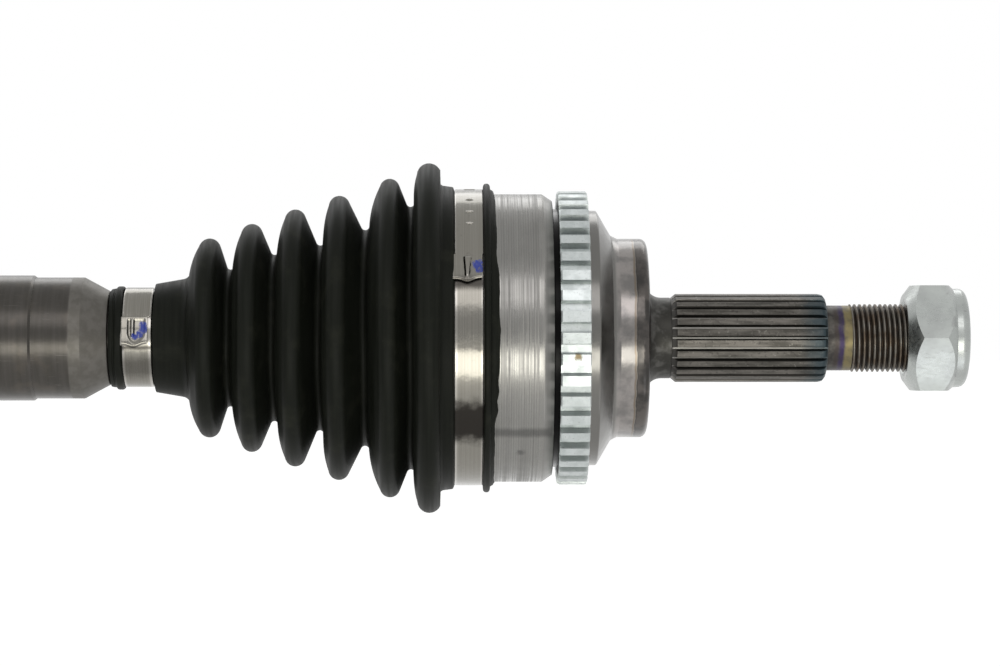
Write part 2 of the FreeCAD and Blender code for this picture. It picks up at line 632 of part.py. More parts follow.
def tripod_cavity():
    """The three-lobed space that the rollers slide in."""
    floor = TRIPOD_X - HOUSING_DEPTH
    mouth = TRIPOD_X + HOUSING_MOUTH
    cavity = cylinder(floor, mouth + 1, HOUSING_BORE_R)
    for i in range(TRUNNION_COUNT):
        arm = radial(360 * i / TRUNNION_COUNT)
        middle = Vector(floor, 0, 0) + arm * ROLLER_PITCH_R
        lobe = Part.makeCylinder(ROLLER_R + ROLLER_CLEARANCE, mouth + 1 - floor, middle, ALONG)
        limit = Part.makeBox(
            mouth + 1 - floor, HOUSING_LOBE_REACH, 4 * ROLLER_R, Vector(floor, 0, -2 * ROLLER_R)
        )
        limit.rotate(ORIGIN, ALONG, 360 * i / TRUNNION_COUNT)
        cavity = cavity.fuse(lobe.common(limit))
    slope = (HOUSING_FLARE_R - HOUSING_BORE_R) / HOUSING_FLARE_LENGTH
    flare = Part.makeCone(
        HOUSING_FLARE_R + slope, HOUSING_BORE_R, HOUSING_FLARE_LENGTH + 1,
        Vector(mouth + 1, 0, 0), Vector(-1, 0, 0),
    )
    return cavity.fuse(flare)


def tripod_housing():
    """Housing of the inner joint with the splined stub that enters the gearbox."""
    mouth = TRIPOD_X + HOUSING_MOUTH
    back = TRIPOD_X - HOUSING_BACK
    seal_end = back - GEAR_SEAL_LENGTH
    spline_end = seal_end - GEAR_NECK_LENGTH
    spline_start = spline_end - GEAR_SPLINE_LENGTH
    tip = spline_start - GEAR_PILOT_LENGTH
    outside = turned([
        (mouth, 0),
        (mouth, HOUSING_R - 1.2),
        (mouth - 1.2, HOUSING_R),
        (back + 10, HOUSING_R, 2.0),
        (back + 6, HOUSING_R - 4, 1.5),
        (back, GEAR_SEAL_R + 4),
        (back, GEAR_SEAL_R),
        (seal_end + 1.2, GEAR_SEAL_R),
        (seal_end, GEAR_SEAL_R - 1.2),
        (seal_end, GEAR_SPLINE_ROOT_R + 0.5, 1.0),
        (spline_end, GEAR_SPLINE_ROOT_R + 0.5),
        (spline_end, 0),
    ])
    spline = toothed_bar(
        GEAR_SPLINE_TEETH, GEAR_SPLINE_ROOT_R, GEAR_SPLINE_TIP_R, spline_start, spline_end
    )
    spline = chamfered_bar(spline, spline_start, spline_end, GEAR_SPLINE_TIP_R, 0.9)
    pilot = turned([
        (tip, 0), (tip, GEAR_PILOT_R - 1.2), (tip + 1.2, GEAR_PILOT_R),
        (spline_start + 1, GEAR_PILOT_R), (spline_start + 1, 0),
    ])
    groove = ring(spline_start + 4, spline_start + 5.4, GEAR_SPLINE_ROOT_R - 0.6, GEAR_SPLINE_TIP_R + 1)
    housing = outside.cut(tripod_cavity()).fuse([spline, pilot])
    return housing.cut([groove, centre_drilling(tip, -1)])


def stub_circlip():
    """Clip that locks the stub into the gearbox."""
    spline_end = TRIPOD_X - HOUSING_BACK - GEAR_SEAL_LENGTH - GEAR_NECK_LENGTH
    start = spline_end - GEAR_SPLINE_LENGTH + 4
    return open_ring(start + 0.05, start + 1.35, GEAR_SPLINE_ROOT_R - 0.55, GEAR_SPLINE_TIP_R + 0.25, 40)


def belt(pegs, inset):
    """Lines and arcs laid over a row of pegs (x, centre radius, peg radius, side).

    Side is 1 where the belt passes outside the peg and -1 where it passes inside. inset moves
    the belt towards the X axis, square to itself.
    """
    centres = [Vector(x, 0, r) for x, r, _, _ in pegs]
    swings = [side * size - inset for _, _, size, side in pegs]
    normals = []
    for i in range(len(pegs) - 1):
        gap = centres[i + 1] - centres[i]
        ahead = unit(gap)
        outward = Vector(ahead.z, 0, -ahead.x)
        if outward.z < 0:
            outward = outward * -1
        lean = (swings[i] - swings[i + 1]) / gap.Length
        normals.append(ahead * lean + outward * math.sqrt(1 - lean * lean))
    edges = []
    for i, normal in enumerate(normals):
        start = centres[i] + normal * swings[i]
        end = centres[i + 1] + normal * swings[i + 1]
        edges.append(Part.makeLine(start, end))
        if i + 1 < len(normals):
            across = normals[i + 1] - normal
            upright = Vector(-across.z, 0, across.x) * math.copysign(1, across.x)
            middle = centres[i + 1] + unit(upright) * swings[i + 1]
            turn = centres[i + 1] + normals[i + 1] * swings[i + 1]
            edges.append(Part.Arc(end, middle, turn).toShape())
    return edges, centres[0] + normals[0] * swings[0], centres[-1] + normals[-1] * swings[-1]


def bellows(pegs):
    """The folded wall of a boot."""
    outside, outer_start, outer_end = belt(pegs, 0.0)
    inside, inner_start, inner_end = belt(pegs, BOOT_WALL)
    caps = [Part.makeLine(outer_start, inner_start), Part.makeLine(outer_end, inner_end)]
    outline = Part.Wire(Part.__sortEdges__(outside + inside + caps))
    return Part.Face(outline).revolve(ORIGIN, ALONG, 360)


def fold_pegs(collar_end, neck_start, folds):
    """Pegs for a boot's wall, from (x, radius) at its collar to (x, radius) at its neck."""
    pegs = [(*collar_end, 0, 1)]
    for share, height, size, side in folds:
        x = collar_end[0] + share * (neck_start[0] - collar_end[0])
        line = collar_end[1] + share * (neck_start[1] - collar_end[1])
        pegs.append((x, line + height - side * size, size, side))
    return pegs + [(*neck_start, 0, 1)]


def boot_neck(start, clamp_edge, end, direction):
    """Small collar of a boot. It runs from start to end, with a bead between the clamp and its end."""
    hole = BOOT_NECK_SEAT_R + BOOT_GAP
    clamp_seat = hole + NECK_WALL
    bead = clamp_seat + NECK_BEAD
    return turned([
        (start - 2.4 * direction, hole),
        (start - 2.4 * direction, BOOT_NECK_SEAT_R + 4.3),
        (start + 0.1 * direction, BOOT_NECK_SEAT_R + 4.3, 0.5),
        (start + 0.5 * direction, clamp_seat),
        (clamp_edge + 0.2 * direction, clamp_seat),
        (clamp_edge + 0.4 * direction, bead - 0.1, 0.7),
        (end - 1.8 * direction, bead, 0.9),
        (end, bead - 0.9, 0.6),
        (end, hole),
    ])


def outer_boot():
    """Rubber boot of the ball joint: large collar, six folds, neck and small collar."""
    clamp_seat = BOOT_SEAT_R + COLLAR_WALL
    bead = clamp_seat + COLLAR_BEAD
    clamp_end = OUTER_CLAMP_X + CLAMP_WIDTH
    hole = BOOT_SEAT_R + SEAT_GAP
    collar = turned([
        (OUTER_CLAMP_X - 5.8, hole),
        (OUTER_CLAMP_X - 5.8, bead - 0.2, 0.6),
        (OUTER_CLAMP_X - 3.2, bead - 0.1),
        (OUTER_CLAMP_X - 0.6, bead - 0.4, 0.6),
        (OUTER_CLAMP_X - 0.1, clamp_seat),
        (clamp_end + 0.1, clamp_seat),
        (clamp_end + 0.1, bead, 0.9),
        (clamp_end + 1.8, bead, 0.8),
        (BOOT_STEP_X - 0.05, bead - 1.9),
        (BOOT_STEP_X - 0.05, hole),
    ])
    collar_end = (OUTER_CLAMP_X - 3.8, bead - 2.4)
    neck_start = (OUTER_NECK_X, BOOT_NECK_SEAT_R + 4.2)
    neck = boot_neck(OUTER_NECK_X, OUTER_SMALL_CLAMP_X, OUTER_CONE_X + 0.3, -1)
    return bellows(fold_pegs(collar_end, neck_start, OUTER_FOLDS)).fuse([collar, neck])


def inner_boot():
    """Rubber boot of the tripod joint, with its large collar on the housing."""
    clamp_seat = HOUSING_R + COLLAR_WALL
    bead = clamp_seat + 1.35
    clamp_end = INNER_CLAMP_X + CLAMP_WIDTH
    mouth = TRIPOD_X + HOUSING_MOUTH
    hole = HOUSING_R + SEAT_GAP
    collar = turned([
        (INNER_CLAMP_X - 2.6, hole),
        (INNER_CLAMP_X - 2.6, bead - 0.3, 0.8),
        (INNER_CLAMP_X - 0.4, bead, 0.8),
        (INNER_CLAMP_X - 0.1, clamp_seat),
        (clamp_end + 0.1, clamp_seat),
        (clamp_end + 0.4, bead, 0.8),
        (mouth + 5.0, bead - 0.3, 0.8),
        (mouth + 5.0, HOUSING_R - 0.4),
        (mouth + SEAT_GAP, HOUSING_R - 2.0),
        (mouth + SEAT_GAP, hole),
    ])
    collar_end = (mouth + 4.0, HOUSING_R + 2.4)
    neck_start = (INNER_NECK_X, BOOT_NECK_SEAT_R + 4.2)
    neck = boot_neck(INNER_NECK_X, INNER_SMALL_CLAMP_X + CLAMP_WIDTH, INNER_CONE_X - 0.4, 1)
    return bellows(fold_pegs(collar_end, neck_start, INNER_FOLDS)).fuse([collar, neck])


def sector(start, end, inner, outer, from_degrees, to_degrees):
    """Part of a ring about the X axis, from one angle to another. 0 is +Y and 90 is +Z."""
    corners = [Vector(start, 0, 0) + radial(from_degrees) * r for r in (inner, outer)]
    across = Vector(end - start, 0, 0)
    far = [corner + across for corner in reversed(corners)]
    outline = Part.makePolygon(corners + far + corners[:1])
    return Part.Face(outline).revolve(ORIGIN, ALONG, to_degrees - from_degrees)


def band_clamp(start, outer, end_degrees):
    """Steel band. Its free end lies over the first layer, stops at end_degrees and has a pressed rib."""
    end = start + CLAMP_WIDTH
    band = ring(start, end, outer - CLAMP_THICKNESS, outer)
    overlap_degrees = 2600 / outer
    rib_degrees = 240 / outer
    layer = sector(
        start + 0.1, end - 0.1, outer - 0.2, outer + 0.5, end_degrees - overlap_degrees, end_degrees
    )
    rib = sector(
        start + 0.4 * CLAMP_WIDTH, start + 0.58 * CLAMP_WIDTH, outer - 0.2, outer + 0.8,
        end_degrees - rib_degrees, end_degrees,
    )
    return band.fuse([layer, rib])


def build_nodes():
    nodes = {
        "joint_bell": joint_bell(),
        "tone_ring": tone_ring(),
        "ball_cage": ball_cage(),
        "joint_balls": joint_balls(),
        "inner_race": inner_race(),
        "race_circlip": race_circlip(),
        "hub_nut": hub_nut(),
        "nut_lock_ring": nut_lock_ring(),
        "shaft_outer_end": shaft_outer_end(),
        "shaft_tube": shaft_tube(),
        "shaft_inner_end": shaft_inner_end(),
        "tripod_spider": tripod_spider(),
        "spider_snap_ring": spider_snap_ring(),
        "needle_rollers": needle_rollers(),
        "roller_washers": roller_washers(),
        "roller_clips": roller_clips(),
        "thrust_cup": thrust_cup(),
        "thrust_spring": thrust_spring(),
        "tripod_housing": tripod_housing(),
        "stub_circlip": stub_circlip(),
        "outer_boot": outer_boot(),
        "inner_boot": inner_boot(),
        "outer_large_clamp": band_clamp(OUTER_CLAMP_X, OUTER_CLAMP_R, LARGE_CLAMP_END),
        "outer_small_clamp": band_clamp(OUTER_SMALL_CLAMP_X, SMALL_CLAMP_R, SMALL_CLAMP_END),
        "inner_large_clamp": band_clamp(INNER_CLAMP_X, INNER_CLAMP_R, LARGE_CLAMP_END),
        "inner_small_clamp": band_clamp(INNER_SMALL_CLAMP_X, SMALL_CLAMP_R, SMALL_CLAMP_END),
    }
    for i in range(TRUNNION_COUNT):
        nodes[f"roller_{i + 1}"] = roller(i)
    return nodes


def main():
    os.makedirs("parts", exist_ok=True)
    for name, shape in build_nodes().items():
        shape.exportStep(f"parts/{name}.step")
        print(f"{name}: {len(shape.Solids)} solid, {shape.Volume / 1000:.2f} cm3, valid {shape.isValid()}")


main()
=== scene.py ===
import json
import math

import bpy
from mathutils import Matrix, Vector, noise


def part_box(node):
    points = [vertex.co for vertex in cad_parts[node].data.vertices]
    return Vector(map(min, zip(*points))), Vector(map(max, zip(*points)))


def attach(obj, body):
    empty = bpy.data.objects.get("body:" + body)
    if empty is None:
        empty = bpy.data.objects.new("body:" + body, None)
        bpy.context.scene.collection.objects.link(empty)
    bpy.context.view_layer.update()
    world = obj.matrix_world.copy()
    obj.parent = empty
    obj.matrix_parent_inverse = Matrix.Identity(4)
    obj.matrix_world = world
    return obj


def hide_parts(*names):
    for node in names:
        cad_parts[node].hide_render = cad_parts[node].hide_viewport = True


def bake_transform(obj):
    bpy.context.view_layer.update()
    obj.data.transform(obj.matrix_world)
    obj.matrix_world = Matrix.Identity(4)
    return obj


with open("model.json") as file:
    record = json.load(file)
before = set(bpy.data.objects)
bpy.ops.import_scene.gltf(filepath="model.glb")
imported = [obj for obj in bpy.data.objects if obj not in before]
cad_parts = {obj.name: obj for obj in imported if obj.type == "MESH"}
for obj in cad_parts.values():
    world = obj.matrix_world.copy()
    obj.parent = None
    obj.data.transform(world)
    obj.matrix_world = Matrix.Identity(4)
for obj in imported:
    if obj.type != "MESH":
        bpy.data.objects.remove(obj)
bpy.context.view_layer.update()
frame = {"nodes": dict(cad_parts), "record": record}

# The frame is in metres: +X towards the wheel, +Z up, X = 0 at the hub's shoulder face.
# Outlines here are in millimetres and are scaled when a mesh is made.
# Angles run about the X axis: 0 along +Y, 90 along +Z, 180 along -Y, where the camera is.
MM = 0.001
IMAGE_WIDTH = 1000
IMAGE_HEIGHT = 666

# Camera, worked out from the photograph
PIXELS_PER_MM = 3.42
CAMERA_DISTANCE = 983
AXIS_ROW = 338
HUB_FACE_COLUMN = 645.2
VIEW_CENTRE_COLUMN = 448

FLOOR_Z = -0.35
FLOOR_REACH = 40
SEGMENTS = 288

NODES = frame["nodes"]


# Shader helper

class Look:
    """One material, put together from small calls that each return a socket."""

    def __init__(self, name):
        self.material = bpy.data.materials.new(name)
        self.material.use_nodes = True
        self.tree = self.material.node_tree
        self.shader = self.tree.nodes["Principled BSDF"]
        place = self.node("ShaderNodeTexCoord").outputs["Object"]
        split = self.node("ShaderNodeSeparateXYZ")
        self.tree.links.new(place, split.inputs[0])
        self.x = self.times(split.outputs[0], 1000)
        self.y = self.times(split.outputs[1], 1000)
        self.z = self.times(split.outputs[2], 1000)
        squares = self.add(self.times(self.y, self.y), self.times(self.z, self.z))
        self.radius = self.math("SQRT", squares)

    def node(self, kind, **settings):
        node = self.tree.nodes.new(kind)
        for key, value in settings.items():
            setattr(node, key, value)
        return node

    def put(self, socket, value):
        if isinstance(value, bpy.types.NodeSocket):
            self.tree.links.new(value, socket)
        elif isinstance(value, tuple) and socket.type == "RGBA":
            socket.default_value = (*value, 1)
        else:
            socket.default_value = value

    def math(self, operation, *values):
        node = self.node("ShaderNodeMath", operation=operation)
        for socket, value in zip(node.inputs, values):
            self.put(socket, value)
        return node.outputs[0]

    def add(self, a, b):
        return self.math("ADD", a, b)

    def times(self, a, b):
        return self.math("MULTIPLY", a, b)

    def vector(self, x, y, z):
        node = self.node("ShaderNodeCombineXYZ")
        for socket, value in zip(node.inputs, (x, y, z)):
            self.put(socket, value)
        return node.outputs[0]

    def turned(self, along, across):
        """Coordinates for lathe marks: fine along X and long round the axis, with no seam."""
        radius = self.math("MAXIMUM", self.radius, 0.1)
        across_y = self.times(self.math("DIVIDE", self.y, radius), across)
        across_z = self.times(self.math("DIVIDE", self.z, radius), across)
        return self.vector(self.times(self.x, along), across_y, across_z)

    def drawn(self, along, across):
        """Coordinates for marks that run along X."""
        return self.vector(self.times(self.x, along), self.times(self.y, across), self.times(self.z, across))

    def noise(self, scale, detail=4, vector=None):
        node = self.node("ShaderNodeTexNoise")
        self.put(node.inputs["Vector"], self.drawn(1, 1) if vector is None else vector)
        node.inputs["Scale"].default_value = scale
        node.inputs["Detail"].default_value = detail
        node.inputs["Roughness"].default_value = 0.55
        return node.outputs["Fac"]

    def ramp(self, value, low, high, to_low=0.0, to_high=1.0):
        """A smooth rise from to_low to to_high as value goes from low to high."""
        node = self.node("ShaderNodeMapRange", interpolation_type="SMOOTHSTEP")
        for socket, number in zip(node.inputs[:5], (value, low, high, to_low, to_high)):
            self.put(socket, number)
        return node.outputs[0]

    def between(self, value, low, high, soft, strength=1.0):
        """strength where value lies between low and high, with edges that fade over soft."""
        rise = self.ramp(value, low - soft / 2, low + soft / 2)
        fall = self.ramp(value, high - soft / 2, high + soft / 2, strength, 0.0)
        return self.times(rise, fall)

    def near(self, point, size, ragged=0.5, strength=1.0, soft=0.2):
        """strength close to a point given in millimetres, with a ragged edge."""
        offsets = [self.math("SUBTRACT", a, b) for a, b in zip((self.x, self.y, self.z), point)]
        squares = [self.times(offset, offset) for offset in offsets]
        away = self.math("SQRT", self.add(self.add(squares[0], squares[1]), squares[2]))
        away = self.add(away, self.times(self.noise(0.9, 5), 2 * ragged * size))
        return self.ramp(away, size * (1 + ragged - soft), size * (1 + ragged + soft), strength, 0.0)

    def front_strip(self, low, high, soft, strength, wander=3.0):
        """strength on the -Y side where Z lies between low and high, with an uneven edge."""
        height = self.add(self.z, self.times(self.add(self.noise(0.35, 5), -0.5), wander))
        front = self.ramp(self.y, -12, -2, 1.0, 0.0)
        return self.times(self.between(height, low, high, soft, strength), front)

    def mix(self, amount, a, b):
        node = self.node("ShaderNodeMix", data_type="RGBA")
        self.put(node.inputs[0], amount)
        self.put(node.inputs[6], a)
        self.put(node.inputs[7], b)
        return node.outputs[2]

    def bump(self, height, distance_mm, under=None):
        node = self.node("ShaderNodeBump")
        node.inputs["Distance"].default_value = distance_mm * MM
        self.put(node.inputs["Height"], height)
        if under is not None:
            self.put(node.inputs["Normal"], under)
        return node.outputs[0]

    def brushed(self, anisotropy):
        """Stretches the shine along X, square to the lathe marks."""
        self.shader.inputs["Anisotropic"].default_value = anisotropy
        self.shader.inputs["Anisotropic Rotation"].default_value = 0.25
        tangent = self.node("ShaderNodeTangent", direction_type="RADIAL", axis="X")
        self.put(self.shader.inputs["Tangent"], tangent.outputs[0])

    def done(self, colour, metallic, roughness, normal, specular=0.5):
        self.put(self.shader.inputs["Base Color"], colour)
        self.put(self.shader.inputs["Metallic"], metallic)
        self.put(self.shader.inputs["Roughness"], roughness)
        self.put(self.shader.inputs["Normal"], normal)
        self.shader.inputs["Specular IOR Level"].default_value = specular
        return self.material


# Finish of the bell and stub axle, one stretch along X at a time

LATHE_PITCH = 0.7
LATHE_LINES = (-44.6, -31.4)
BELL_SIDE = (-45.0, -31.0)
BELL_EDGE = (-30.8, -27.4)
RING_GAP = (-27.7, -25.2)
CONE = (-17.2, -9.6)
SEAL_LAND = (-9.6, -4.0)
FACE_EDGE = (-3.3, 1.5)
NECK = (0.3, 8.6)
SPLINE = (7.1, 52.6)
SPLINE_FLANKS = (11.80, 12.72)
SPLINE_FLOOR = 11.74
PLAIN_NECK = (52.5, 59.6)
THREAD_START = 59.5
THREAD_CRESTS = (9.15, 9.55)
STUB = (0.0, 90.0)

# Dark specks on the bell's side: point and size
BELL_SPECKS = (((-31.2, -36.5, 25.5), 1.1), ((-40.5, -30.0, 31.0), 0.9), ((-37.0, -27.0, -33.0), 1.2))

# Bands that heating leaves on the plain neck: X from and to, colour
HEAT_BANDS = (
    (54.4, 55.7, (0.052, 0.044, 0.040)), (55.7, 57.2, (0.040, 0.030, 0.070)),
    (57.2, 59.8, (0.175, 0.148, 0.075)),
)


def lathe_lines(look):
    """A wave along X with one rise and fall for each line that the tool cut."""
    return look.math("SINE", look.times(look.x, 2 * math.pi / LATHE_PITCH))


def bell_finish(look):
    """Satin turned steel, with a few dull patches and fine lathe lines. A dark band low on the front is a
    painted reflection of the shadow beneath the shaft, and the recess by the tone ring is painted shade.
    """
    dull = look.ramp(look.noise(0.06, 4), 0.48, 0.72, 0.0, 0.5)
    colour = look.mix(dull, (0.215, 0.212, 0.200), (0.165, 0.162, 0.152))
    marks = look.noise(1.0, 4, look.turned(2.6, 0.5))
    colour = look.mix(look.ramp(marks, 0.35, 0.75, 0.0, 0.5), colour, (0.155, 0.152, 0.146))
    inside = look.between(look.x, *LATHE_LINES, 1.0, 0.22)
    lines = look.ramp(lathe_lines(look), -0.6, 0.8)
    colour = look.mix(look.times(lines, inside), colour, (0.09, 0.09, 0.088))
    for point, size in BELL_SPECKS:
        colour = look.mix(look.near(point, size, 0.9, 0.6, 0.5), colour, (0.06, 0.06, 0.058))
    # Painted reflection: a thin dark band low on the front of the bell, for the shadow beneath the shaft
    # seen in the steel.
    line = look.times(look.front_strip(-27.9, -25.6, 1.6, 0.5, 0.9), look.between(look.x, -45, -28, 0.5))
    colour = look.mix(line, colour, (0.03, 0.03, 0.03))
    # Painted shade: the recess between the bell and the tone ring is coloured near black.
    gap = look.between(look.x, *RING_GAP, 0.15)
    return look.mix(gap, colour, (0.006, 0.006, 0.006))


def shoulder_finish(look, colour):
    """The cone, the seal land with its straw-coloured ring, and the dark edge of the face."""
    cone = look.between(look.x, *CONE, 1.2, 0.85)
    colour = look.mix(cone, colour, (0.125, 0.122, 0.115))
    blotches = look.ramp(look.noise(0.16, 5), 0.38, 0.62)
    land = look.between(look.x, *SEAL_LAND, 1.2)
    colour = look.mix(land, colour, look.mix(blotches, (0.150, 0.144, 0.139), (0.235, 0.220, 0.210)))
    wander = look.add(look.x, look.times(look.noise(0.3, 5), 1.0))
    dark = look.between(wander, *FACE_EDGE, 0.4)
    colour = look.mix(dark, colour, look.mix(blotches, (0.045, 0.043, 0.041), (0.092, 0.084, 0.078)))
    straw = look.between(wander, -4.0, -3.5, 0.5, 0.55)
    colour = look.mix(straw, colour, (0.100, 0.062, 0.022))
    return look.mix(look.between(wander, -3.4, -3.1, 0.3, 0.6), colour, (0.018, 0.015, 0.013))


def neck_finish(look, colour):
    """The mottled neck between the shoulder and the spline."""
    mottled = look.ramp(look.noise(0.28, 3), 0.45, 0.68)
    neck = look.mix(mottled, (0.042, 0.041, 0.037), (0.092, 0.090, 0.084))
    return look.mix(look.between(look.x, *NECK, 0.5), colour, neck)


def spline_finish(look, colour):
    """Brown-grey crests, flanks darkened as painted shadow and a pale floor in each groove as painted light,
    turning blue near the thread. The run-out by the shoulder is lightened as a painted highlight.
    """
    worn = look.noise(1.0, 5, look.drawn(0.09, 0.7))
    crest = look.mix(look.ramp(worn, 0.35, 0.65), (0.060, 0.057, 0.050), (0.122, 0.114, 0.102))
    specks = look.ramp(look.noise(1.3, 4), 0.60, 0.70)
    crest = look.mix(look.times(specks, 0.6), crest, (0.21, 0.20, 0.18))
    pits = look.ramp(look.noise(1.1, 4), 0.36, 0.42, 0.5, 0.0)
    crest = look.mix(pits, crest, (0.030, 0.028, 0.026))
    # Painted shadow: the flanks of the teeth are darkened.
    painted_flank_shadow = look.between(look.radius, *SPLINE_FLANKS, 0.08)
    spline = look.mix(painted_flank_shadow, crest, (0.055, 0.052, 0.047))
    # Painted light: the floor of each groove is lightened.
    floor = look.ramp(look.radius, SPLINE_FLOOR, SPLINE_FLANKS[0], 1.0, 0.0)
    spline = look.mix(floor, spline, (0.20, 0.195, 0.18))
    blue = look.ramp(look.add(look.x, look.times(look.noise(0.25, 3), 8.0)), 47.0, 55.0, 0.0, 0.75)
    spline = look.mix(blue, spline, (0.030, 0.050, 0.060))
    # Painted highlight: the run-out of the teeth next to the shoulder is lightened.
    painted_end_highlight = look.ramp(look.x, 7.6, 9.2, 1.0, 0.0)
    spline = look.mix(painted_end_highlight, spline, (0.20, 0.195, 0.185))
    return look.mix(look.between(look.x, *SPLINE, 0.3), colour, spline)


def tint_finish(look, colour):
    """The plain neck before the thread, with the bands that heating leaves on steel."""
    plain = look.between(look.x, *PLAIN_NECK, 0.3)
    mottled = look.ramp(look.noise(0.5, 4), 0.35, 0.65)
    colour = look.mix(plain, colour, look.mix(mottled, (0.045, 0.042, 0.040), (0.085, 0.080, 0.072)))
    wander = look.add(look.x, look.times(look.noise(0.25, 4), 1.2))
    for low, high, tint in HEAT_BANDS:
        patchy = look.ramp(look.noise(0.4, 4), 0.30, 0.60, 0.45, 0.9)
        colour = look.mix(look.times(look.between(wander, low + 0.6, high + 0.6, 0.9), patchy), colour, tint)
    return colour


def thread_finish(look, colour):
    """Crests lightened by radius, partly from wear and partly as a painted highlight, over dull brown
    grooves.
    """
    groove = look.mix(look.ramp(look.noise(0.35, 4), 0.4, 0.6), (0.020, 0.017, 0.014), (0.032, 0.023, 0.016))
    worn = look.mix(look.ramp(look.noise(0.25, 4), 0.4, 0.65), (0.160, 0.150, 0.132), (0.110, 0.085, 0.062))
    # Painted highlight together with wear: the crests are lightened by radius.
    crest = look.ramp(look.radius, *THREAD_CRESTS)
    thread = look.ramp(look.x, THREAD_START, THREAD_START + 0.2)
    return look.mix(thread, colour, look.mix(crest, groove, worn))


def stub_and_bell():
    """The whole forging, with lathe marks in its surface and duller streaks round the bell."""
    look = Look("turned_steel")
    look.brushed(0.45)
    colour = shoulder_finish(look, bell_finish(look))
    colour = neck_finish(look, colour)
    colour = spline_finish(look, colour)
    colour = tint_finish(look, colour)
    colour = thread_finish(look, colour)
    normal = look.bump(look.times(lathe_lines(look), look.between(look.x, *LATHE_LINES, 0.5)), 0.010)
    normal = look.bump(look.noise(1.0, 3, look.turned(4.0, 0.8)), 0.010, normal)
    normal = look.bump(look.noise(0.8, 4), 0.012, normal)
    rough = look.ramp(look.noise(0.3, 5), 0.3, 0.7, 0.19, 0.26)
    streaks = look.ramp(look.noise(1.0, 2, look.turned(1.9, 0.25)), 0.35, 0.65, 0.0, 0.32)
    rough = look.add(rough, look.times(streaks, look.between(look.x, *BELL_SIDE, 0.5)))
    rough = look.add(rough, look.between(look.x, *BELL_EDGE, 0.3, 0.15))
    rough = look.add(rough, look.between(look.x, *STUB, 0.5, 0.28))
    return look.done(colour, 1.0, rough, normal)


# Finishes of the other pieces

RING_TOOTH_FOOT = (40.72, 41.15)
OUTER_CONE = (-167.0, -139.0)
INNER_CONE = (-316.0, -288.2)


def zinc_ring():
    """Bright zinc, with rows of tiny pits along the teeth, and painted shade low between the teeth."""
    look = Look("zinc_plate")
    cloud = look.noise(0.3, 5)
    colour = look.mix(look.ramp(cloud, 0.35, 0.65), (0.47, 0.50, 0.495), (0.395, 0.425, 0.42))
    pits = look.ramp(look.noise(2.6, 2), 0.65, 0.70)
    colour = look.mix(look.times(pits, 0.7), colour, (0.16, 0.17, 0.17))
    # Painted shade: darker at the base of the gaps between the teeth.
    painted_foot_shade = look.between(look.radius, *RING_TOOTH_FOOT, 0.2, 0.3)
    colour = look.mix(painted_foot_shade, colour, (0.13, 0.14, 0.145))
    stain = look.near((-21.2, -42.2, -5.0), 1.1, 0.9, 0.9, 0.35)
    colour = look.mix(stain, colour, (0.12, 0.085, 0.035))
    normal = look.bump(look.noise(0.9, 5), 0.05)
    return look.done(colour, 1.0, look.ramp(cloud, 0.3, 0.7, 0.36, 0.48), normal)


def zinc_nut():
    """Dull zinc with scuffs and shallow dents, rougher at the corners."""
    look = Look("zinc_nut")
    cloud = look.noise(0.14, 4)
    colour = look.mix(look.ramp(cloud, 0.35, 0.65), (0.375, 0.395, 0.380), (0.330, 0.345, 0.335))
    scuffs = look.noise(1.0, 4, look.drawn(0.5, 1.2))
    colour = look.mix(look.ramp(scuffs, 0.62, 0.74, 0.0, 0.45), colour, (0.20, 0.20, 0.195))
    dents = look.ramp(look.noise(0.22, 4), 0.28, 0.34, 0.35, 0.0)
    colour = look.mix(dents, colour, (0.20, 0.20, 0.20))
    rough = look.ramp(scuffs, 0.3, 0.7, 0.24, 0.34)
    rough = look.add(rough, look.ramp(look.radius, 15.4, 17.4, 0.0, 0.12))
    return look.done(colour, 1.0, rough, look.bump(look.noise(0.10, 2), 0.08))


def shaft_steel():
    """Dark, lightly oiled tube and bar. The two cones are paler and duller."""
    look = Look("shaft_steel")
    look.brushed(0.3)
    marks = look.noise(1.0, 4, look.turned(0.9, 0.8))
    colour = look.mix(look.ramp(marks, 0.3, 0.7), (0.052, 0.049, 0.044), (0.064, 0.060, 0.055))
    film = look.ramp(look.noise(0.13, 6), 0.48, 0.68, 0.0, 0.6)
    colour = look.mix(film, colour, (0.082, 0.073, 0.062))
    scratches = look.ramp(look.noise(1.0, 5, look.drawn(0.25, 2.5)), 0.62, 0.72, 0.0, 0.35)
    colour = look.mix(scratches, colour, (0.13, 0.125, 0.115))
    cones = look.add(look.between(look.x, *OUTER_CONE, 0.6), look.between(look.x, *INNER_CONE, 0.6))
    dull = look.mix(look.ramp(look.noise(0.4, 4), 0.35, 0.65), (0.098, 0.093, 0.083), (0.118, 0.112, 0.102))
    colour = look.mix(cones, colour, dull)
    normal = look.bump(look.noise(1.0, 4, look.turned(3.0, 0.8)), 0.012)
    normal = look.bump(look.noise(0.5, 5), 0.025, normal)
    rough = look.ramp(cones, 0.0, 1.0, 0.30, 0.50)
    return look.done(colour, 1.0, rough, normal)


def machined_steel(name, low, high, roughness):
    """Plain machined steel for the clips, the spring and the pieces inside the joints."""
    look = Look(name)
    cloud = look.noise(0.5, 5)
    colour = look.mix(look.ramp(cloud, 0.35, 0.65), low, high)
    rough = look.ramp(cloud, 0.3, 0.7, roughness, roughness + 0.1)
    return look.done(colour, 1.0, rough, look.bump(look.noise(2.0, 4), 0.012))


